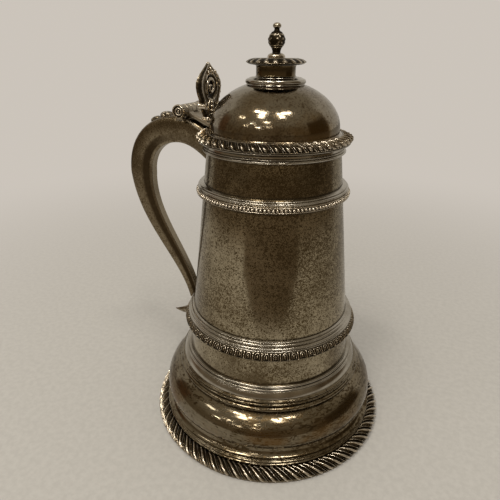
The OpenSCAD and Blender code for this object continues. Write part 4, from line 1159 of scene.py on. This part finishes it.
def makeHingePlate():
    h = hinge
    top = h["plateZ"] + h["plateT"]
    startZ = h["plateZ"] + (h["plateStart"] - h["slopeX"]) * h["slopeRise"]
    side = [(h["plateStart"], startZ), (h["slopeX"], h["plateZ"]), (h["plateEnd"], h["plateZ"])]
    side += [(h["plateEnd"], top), (h["slopeX"] - h["slopeLap"], top)]
    side.append((h["plateStart"], startZ + h["slopeT"]))
    web = h["r"] * h["web"] / 2
    parts = [slab(side, h["plateW"]), slab(upright(web + h["railLip"], top), h["length"] - h["gap"])]
    for k in (0, 2, 4):
        parts.append(slab(upright(web, h["z"]), knuckleLong, offset(k)))
    for part in parts:
        soften(part, 30, h["edge"])
    plate = joined(parts + [knuckle(k) for k in (0, 2, 4)])
    settle(plate, "handleHingePlate", "handle_hinge_plate", "tankard", "hinge", 35)


def makeHingeCaps():
    # dark sunk rings: tarnish with painted shade in the grooves
    def rings(r, z):
        return 1.0 if any(low < r < high for low, high in hinge["sunk"]) else 0.0

    caps = joined([onHinge(hinge["cap"], side * hinge["length"] / 2, side, rings) for side in (-1, 1)])
    settle(caps, "hingeCaps", "hinge_caps", "tankard", "cast", 50)


def makeHingeLeaf():
    h = hinge
    end = Vector(h["leafEnd"])
    axis = Vector((h["x"], h["z"]))
    way = (axis - end).normalized()
    up = Vector((-way[1], way[0]))
    toe = end - way * h["toeLap"]
    stop = axis - way * (h["r"] + h["leafGap"])
    half = up * h["leafT"] / 2
    leaf = slab([toe - half, stop - half, stop + half, toe + up * h["leafT"]], h["leafW"])
    soften(leaf, 30, h["edge"])
    lap = stop - way * h["neckLap"]
    reach = up * h["neckHalf"]
    outline = [lap - half, axis - reach, axis + reach, lap + half]
    necks = [slab(outline, knuckleLong, offset(k)) for k in (1, 3)]
    piece = joined([leaf] + necks + [knuckle(k) for k in (1, 3)])
    settle(piece, "lidHingeLeaf", "lid_hinge_leaf", "lid", "hinge", 35)


makeHingePlate()
makeHingeCaps()
makeHingeLeaf()
print("hinge done")


# thumbpiece

# outline and depth go by height; the rows after them are places across and up, with their sizes;
# plain, bowlDeep and ringHigh are shares of the full thickness, and the values from curlOut on are
# shares of half the thickness or of a boss's radius
thumb = dict(x=42.25, foot=193.2, tip=230.3, half=2.2, bowlR=7.0, bowlZ=216.8, across=34, edge=8, rows=72,
             outline=[(193.2, 3.7), (196.0, 3.7), (199.0, 5.2), (203.0, 6.6), (205.5, 8.7), (207.5, 8.9),
                      (209.5, 9.1), (212.0, 10.4), (214.5, 11.6), (217.0, 12.2), (219.5, 11.9),
                      (222.0, 10.3), (224.0, 8.1), (226.0, 5.4), (228.0, 2.9), (229.4, 1.5),
                      (230.3, 0.5)],
             depth=[(193.2, 0.75), (204.0, 0.85), (212.0, 1.0), (220.0, 1.0), (226.5, 0.62),
                    (230.3, 0.25)], volutes=[(7.9, 206.4, 1.9, 5.0), (4.9, 199.0, 1.35, 4.2)],
             roll=[(0, 0.35), (0.3, 0.35), (0.45, 0.1), (0.6, 0.35), (0.75, 0.3), (0.88, 0), (1, 0.25)],
             waist=0.8,
             lobes=[(6.2, 224.8, 1.2), (8.6, 222.6, 1.4), (10.7, 220.0, 1.5), (11.6, 216.8, 1.5),
                    (11.0, 213.6, 1.45), (9.6, 210.8, 1.3)],
             curl=[(-3.4, 212.0), (-4.9, 215.4), (-3.6, 219.6), (0.2, 221.4), (3.6, 219.2), (3.4, 215.6),
                   (0.6, 213.8), (-1.5, 215.6), (-0.8, 217.8), (0.9, 217.4)],
             curlR=(0.45, 0.85, 1.05, 1.1, 1.05, 1.0, 0.9, 0.8, 0.75, 0.7),
             leaves=[(0, 226.0, 0.9, 1.9), (-2.7, 224.6, 0.9, 1.5), (2.7, 224.6, 0.9, 1.5)], leafSunk=0.2,
             leafT=0.9,
             beads=[(208.0, 1.35), (205.6, 1.45), (203.2, 1.3), (201.0, 1.15), (199.0, 1.0), (197.2, 0.9),
                    (195.6, 0.8)],
             husk=[(1.4, 210.4), (3.2, 208.2), (4.6, 205.2), (4.2, 202.2), (2.6, 200.0)],
             huskR=(0.5, 0.75, 0.8, 0.7, 0.45), tipZ=229.5, tipR=0.95, rimIn=0.45, rimSoft=0.9,
             bowlLip=0.3, bowlSoft=1.2, ringOut=0.5, ringSoft=0.7, ringHigh=0.85, plain=0.66,
             bowlDeep=0.36, faceDark=1.35, flute=0.95, fluteFull=3, fluteDark=0.9, wireDark=0.12,
             curlOut=0.5, stemOut=0.7, lobeDeep=1.05, lobeTall=1.3, beadDeep=0.9, beadTall=0.95)


def tube(path, radii, steps):
    # rounded wire along a path in millimetres, its radius changing on the way
    thickness = [(r,) for r in radii]

    def place(u, v):
        here = Vector(alongPoints(path, v))
        ahead = Vector(alongPoints(path, v + 0.02)) - Vector(alongPoints(path, v - 0.02))
        side = ahead.cross(Vector((1, 0, 0))).normalized()
        up = side.cross(ahead).normalized()
        a = fullTurn * u
        return here + (side * math.cos(a) + up * math.sin(a)) * alongPoints(thickness, v)[0]

    return weld(formedSheet(8, steps, place, lambda u, v: thumb["wireDark"]), caps=True)


def boss(centre, radii):
    # small round boss
    clearSelection()
    bpy.ops.mesh.primitive_uv_sphere_add(segments=16, ring_count=10, radius=mm)
    piece = bpy.context.object
    openMesh()
    bpy.ops.transform.resize(value=radii)
    bpy.ops.transform.translate(value=Vector(centre) * mm)
    cleanMesh()
    return piece


def thumbLevel(y, z):
    # share of the full thickness: rolled rim, raised ring and sunk bowl
    t = thumb
    inset = alongRows(t["outline"], z) - abs(y)
    rim = math.exp(-((inset - t["rimIn"]) / t["rimSoft"]) ** 2)
    reach = math.hypot(y, z - t["bowlZ"])
    bowl = clamp((t["bowlR"] + t["bowlLip"] - reach) / t["bowlSoft"])
    ring = math.exp(-((reach - t["bowlR"] - t["ringOut"]) / t["ringSoft"]) ** 2)
    level = t["plain"] - t["bowlDeep"] * bowl
    return level + (1.0 - level) * max(rim, t["ringHigh"] * ring)


def thumbShield():
    # one loop round the shield at each height: a face, a fluted edge, the other face, the other edge
    t = thumb
    across, edge = t["across"], t["edge"]
    loop = 2 * (across + edge)

    def section(u, v):
        # place and darkness; the darkness is tarnish with painted shade in the sunk bowl and the fluted
        # edge, and the raised rim and ring stay light
        z = t["foot"] + (t["tip"] - t["foot"]) * v
        half = alongRows(t["outline"], z)
        thick = t["half"] * alongRows(t["depth"], z)
        k = round(u * loop) % loop
        side = 1 if k < across + edge else -1
        k = k % (across + edge)
        if k <= across:
            y = half * (2 * k / across - 1)
            level = thumbLevel(y, z)
            return (thick * level * side, y * side, z, t["faceDark"] * (1.0 - level))
        s = 2 * (k - across) / edge - 1
        flute = t["flute"] * min(1.0, half / t["fluteFull"]) * (1 - s * s)
        x = -thick * thumbLevel(half, z) * s
        return (x * side, (half - flute) * side, z, t["fluteDark"] * (1 - s * s))

    def place(u, v):
        x, y, z, dark = section(u, v)
        return (x - t["x"], y, z)

    return weld(formedSheet(loop, t["rows"], place, lambda u, v: section(u, v)[3]), caps=True)


def volute(y, z, r, length):
    # rolled end of a scroll, its axis across the shield
    end = [(r * share, length / 2 - inset) for share, inset in thumb["roll"]]
    profile = [(x, -up) for x, up in end] + [(r * thumb["waist"], 0)] + end[::-1]
    return laidDown(spunPiece(profile, 24), (0, 90, 0), (-thumb["x"], y, z))


def makeThumbpiece():
    t = thumb
    parts = [thumbShield()]
    # scroll ends at the waist and at the stem
    for side in (-1, 1):
        parts += [volute(side * y, z, r, length) for y, z, r, length in t["volutes"]]
    # leaf lobes along the far edge
    for y, z, r in t["lobes"]:
        parts.append(boss((-t["x"], y, z), (t["half"] * t["lobeDeep"], r, r * t["lobeTall"])))
    for face in (-1, 1):
        # curl in the bowl
        x = -t["x"] + face * t["half"] * t["curlOut"]
        parts.append(tube([(x, y, z) for y, z in t["curl"]], t["curlR"], 48))
        # leaves over the bowl and under the tip
        x = -t["x"] + face * t["half"] * t["stemOut"]
        for y, z, wide, high in t["leaves"]:
            parts.append(boss((x - face * t["leafSunk"], y, z), (t["leafT"], wide, high)))
        # beads and husks down the stem
        for z, r in t["beads"]:
            parts.append(boss((x, 0, z), (r * t["beadDeep"], r, r * t["beadTall"])))
        for side in (-1, 1):
            parts.append(tube([(x, y * side, z) for y, z in t["husk"]], t["huskR"], 20))
    parts.append(boss((-t["x"], 0, t["tipZ"]), (t["tipR"], t["tipR"], t["tipR"])))
    settle(joined(parts), "thumbpieceScroll", "thumbpiece", "lid", "cast", 50)


makeThumbpiece()
print("thumbpiece done")

# pin and nut keep their CAD shape under a worn finish
for name in ("hinge_pin", "finial_nut"):
    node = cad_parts[name]
    node.data.materials.clear()
    node.data.materials.append(silvers["inner"])


# camera, floor and light

view = dict(place=(90.53, -248.74, 235.70), turn=(65.929, -0.319, 23.118), lens=31.87, sensor=36.0,
            near=0.01)


def makeCamera():
    data = bpy.data.cameras.new("camera")
    data.sensor_width = view["sensor"]
    data.lens = view["lens"]
    data.clip_start = view["near"]
    camera = bpy.data.objects.new("camera", data)
    bpy.context.scene.collection.objects.link(camera)
    camera.location = Vector(view["place"]) * mm
    camera.rotation_euler = [math.radians(angle) for angle in view["turn"]]
    bpy.context.scene.camera = camera


# the studio seen in the metal: a pale sheet behind, and in front of it a darker room with a dark place
# and screens; directions, half widths and soft edges are in degrees, distances on the floor in metres,
# tops as the height of a unit direction
studio = dict(sheet=(0.56, 0.52, 0.46), room=(0.2, 0.155, 0.1), ceiling=(0.33, 0.285, 0.215),
              shade=(0.14, 0.104, 0.064), shadeFar=(0.215, 0.162, 0.1), seen=(0.6, 0.552, 0.495),
              spread=(0.5, 0.475, 0.44), roomAz=-72.0, roomHalf=111.0, roomFrom=(0.45, 0.9),
              shadeAz=-70.0, shadeHalf=39.0, shadeNear=11.0, shadeWiden=(0.25, 0.5),
              shadeFrom=(0.22, 0.34), shadeFade=(0.8, 1.6), shadeSoft=0.025, floorEdge=3, wallEdge=2,
              screenEdge=1, ceilingTop=(0.25, 0.6), shadeTop=(0.3, 0.5), screenTop=(0.4, 0.6),
              sheetTop=(0.6, 0.8),
              screens=[(13.0, 22.0, (0.085, 0.057, 0.028)), (-178.0, 16.0, (0.17, 0.1, 0.055))])
floorSheet = dict(size=12, tones=((0.5, 0.482, 0.446), (0.55, 0.531, 0.492)), grain=(260.0, 3.0, 0.6),
                  grainRange=(0.3, 0.7), rough=0.8, fade=(0.12, 0.75))


def cosine(degrees):
    return math.cos(math.radians(degrees))


def levelled(tree, vector):
    # the direction without its height
    return vectorNode(tree, "MULTIPLY", vector, (1, 1, 0))


def facing(tree, flat, azimuth):
    # cosine of the angle between a level direction and an azimuth
    a = math.radians(azimuth)
    unit = vectorNode(tree, "NORMALIZE", flat)
    return vectorNode(tree, "DOT_PRODUCT", unit, (math.cos(a), math.sin(a), 0))


def sector(tree, flat, azimuth, half, soft, outside=0.0, inside=1.0):
    # a part of the horizon with softened sides
    low, high = cosine(half + soft), cosine(half - soft)
    return mapRange(tree, facing(tree, flat, azimuth), low, high, outside, inside)


def makeFloor():
    s = studio
    clearSelection()
    bpy.ops.mesh.primitive_plane_add(size=floorSheet["size"])
    ground = bpy.context.object
    ground.name = "floor"
    material = bpy.data.materials.new("paleSheet")
    material.use_nodes = True
    tree = material.node_tree
    shader = tree.nodes["Principled BSDF"]
    where = addNode(tree, "ShaderNodeTexCoord").outputs["Object"]
    path = addNode(tree, "ShaderNodeLightPath").outputs
    glossy = path["Is Glossy Ray"]
    grain = mapRange(tree, noise(tree, where, *floorSheet["grain"]), *floorSheet["grainRange"])
    colour = mixColour(tree, grain, *floorSheet["tones"])
    flat = levelled(tree, where)
    away = vectorNode(tree, "LENGTH", flat)
    # painted reflection: only rays from the metal see the floor in front in the room's darker colour
    front = sector(tree, flat, s["roomAz"], s["roomHalf"], s["floorEdge"])
    far = mathNode(tree, "MULTIPLY", front, mapRange(tree, away, *s["roomFrom"]))
    colour = mixColour(tree, mathNode(tree, "MULTIPLY", glossy, far), colour, s["room"])
    # and a painted dark reflection that narrows towards the tankard
    near, half = cosine(s["shadeNear"]), cosine(s["shadeHalf"])
    side = mapRange(tree, away, *s["shadeWiden"], near, half, smooth=False)
    inside = mathNode(tree, "SUBTRACT", facing(tree, flat, s["shadeAz"]), side)
    shade = mapRange(tree, inside, -s["shadeSoft"], s["shadeSoft"])
    shade = mathNode(tree, "MULTIPLY", shade, mapRange(tree, away, *s["shadeFrom"]))
    dark = mixColour(tree, mapRange(tree, away, *s["shadeFade"]), s["shade"], s["shadeFar"])
    colour = mixColour(tree, mathNode(tree, "MULTIPLY", glossy, shade), colour, dark)
    feed(tree, shader.inputs["Base Color"], colour)
    shader.inputs["Roughness"].default_value = floorSheet["rough"]
    # far off, the floor runs into the backdrop
    glow = addNode(tree, "ShaderNodeEmission")
    feed(tree, glow.inputs["Color"], s["seen"])
    fade = mathNode(tree, "MULTIPLY", path["Is Camera Ray"], mapRange(tree, away, *floorSheet["fade"]))
    mix = addNode(tree, "ShaderNodeMixShader")
    for socket, value in zip(mix.inputs, (fade, shader.outputs[0], glow.outputs[0])):
        feed(tree, socket, value)
    feed(tree, tree.nodes["Material Output"].inputs["Surface"], mix.outputs[0])
    ground.data.materials.append(material)


def makeWorld():
    s = studio
    world = bpy.data.worlds.new("studio")
    bpy.context.scene.world = world
    world.use_nodes = True
    tree = world.node_tree
    where = addNode(tree, "ShaderNodeTexCoord").outputs["Generated"]
    path = addNode(tree, "ShaderNodeLightPath").outputs
    up = heightOf(tree, where)
    flat = levelled(tree, where)

    def lay(room, colour, mask, top):
        # a coloured part of the room, softened off between two heights
        mask = mathNode(tree, "MULTIPLY", mask, mapRange(tree, up, *top, 1.0, 0.0))
        return mixColour(tree, mask, room, colour)

    room = mixColour(tree, mapRange(tree, up, *s["ceilingTop"]), s["room"], s["ceiling"])
    shade = sector(tree, flat, s["shadeAz"], s["shadeHalf"], s["wallEdge"])
    room = lay(room, s["shadeFar"], shade, s["shadeTop"])
    for azimuth, half, colour in s["screens"]:
        room = lay(room, colour, sector(tree, flat, azimuth, half, s["screenEdge"]), s["screenTop"])
    behind = sector(tree, flat, s["roomAz"], s["roomHalf"], s["wallEdge"], 1.0, 0.0)
    room = lay(room, s["sheet"], behind, s["sheetTop"])
    room = mixColour(tree, path["Is Camera Ray"], room, s["seen"])
    room = mixColour(tree, path["Is Diffuse Ray"], room, s["spread"])
    feed(tree, tree.nodes["Background"].inputs["Color"], room)
    tree.nodes["Background"].inputs["Strength"].default_value = 1.0


# azimuth and height in degrees, distance and size in metres, power in watts
lamps = {
    "barLeft": dict(az=-113, el=63, away=1.6, size=(0.5, 0.13), power=4.2),
    "underLeft": dict(az=-103, el=54, away=1.6, size=(0.22, 0.26), power=3.12),
    "barRight": dict(az=-42, el=63, away=1.6, size=(0.52, 0.13), power=4.2),
    "underRight": dict(az=-52, el=55, away=1.6, size=(0.2, 0.22), power=2.4),
    "sideLeft": dict(az=-141, el=40, away=2.4, size=(0.4, 0.16), power=1.56),
    "rowOne": dict(az=-87, el=39, away=2.6, size=(0.5, 0.09), power=2.88),
    "rowTwo": dict(az=-112, el=31, away=2.8, size=(0.3, 0.08), power=1.92),
    "rowThree": dict(az=-99, el=22, away=3.0, size=(0.4, 0.07), power=1.92),
    "rowFour": dict(az=-81, el=26, away=3.0, size=(0.35, 0.07), power=1.92),
    "rowFive": dict(az=-122, el=23, away=3.0, size=(0.25, 0.07), power=1.44),
}
lampColour = (1.0, 0.95, 0.87)
lampAim = (0, 0, 0.2)


def makeLamps():
    for name, lamp in lamps.items():
        data = bpy.data.lights.new(name, "AREA")
        data.shape = "RECTANGLE"
        data.size, data.size_y = lamp["size"]
        data.energy = lamp["power"]
        data.color = lampColour
        light = bpy.data.objects.new(name, data)
        bpy.context.scene.collection.objects.link(light)
        az = math.radians(lamp["az"])
        el = math.radians(lamp["el"])
        way = Vector((math.cos(el) * math.cos(az), math.cos(el) * math.sin(az), math.sin(el)))
        light.location = way * lamp["away"] + Vector(lampAim)
        light.rotation_euler = way.to_track_quat("Z", "Y").to_euler()


makeCamera()
makeFloor()
makeWorld()
makeLamps()
print("studio done")

bpy.context.view_layer.update()
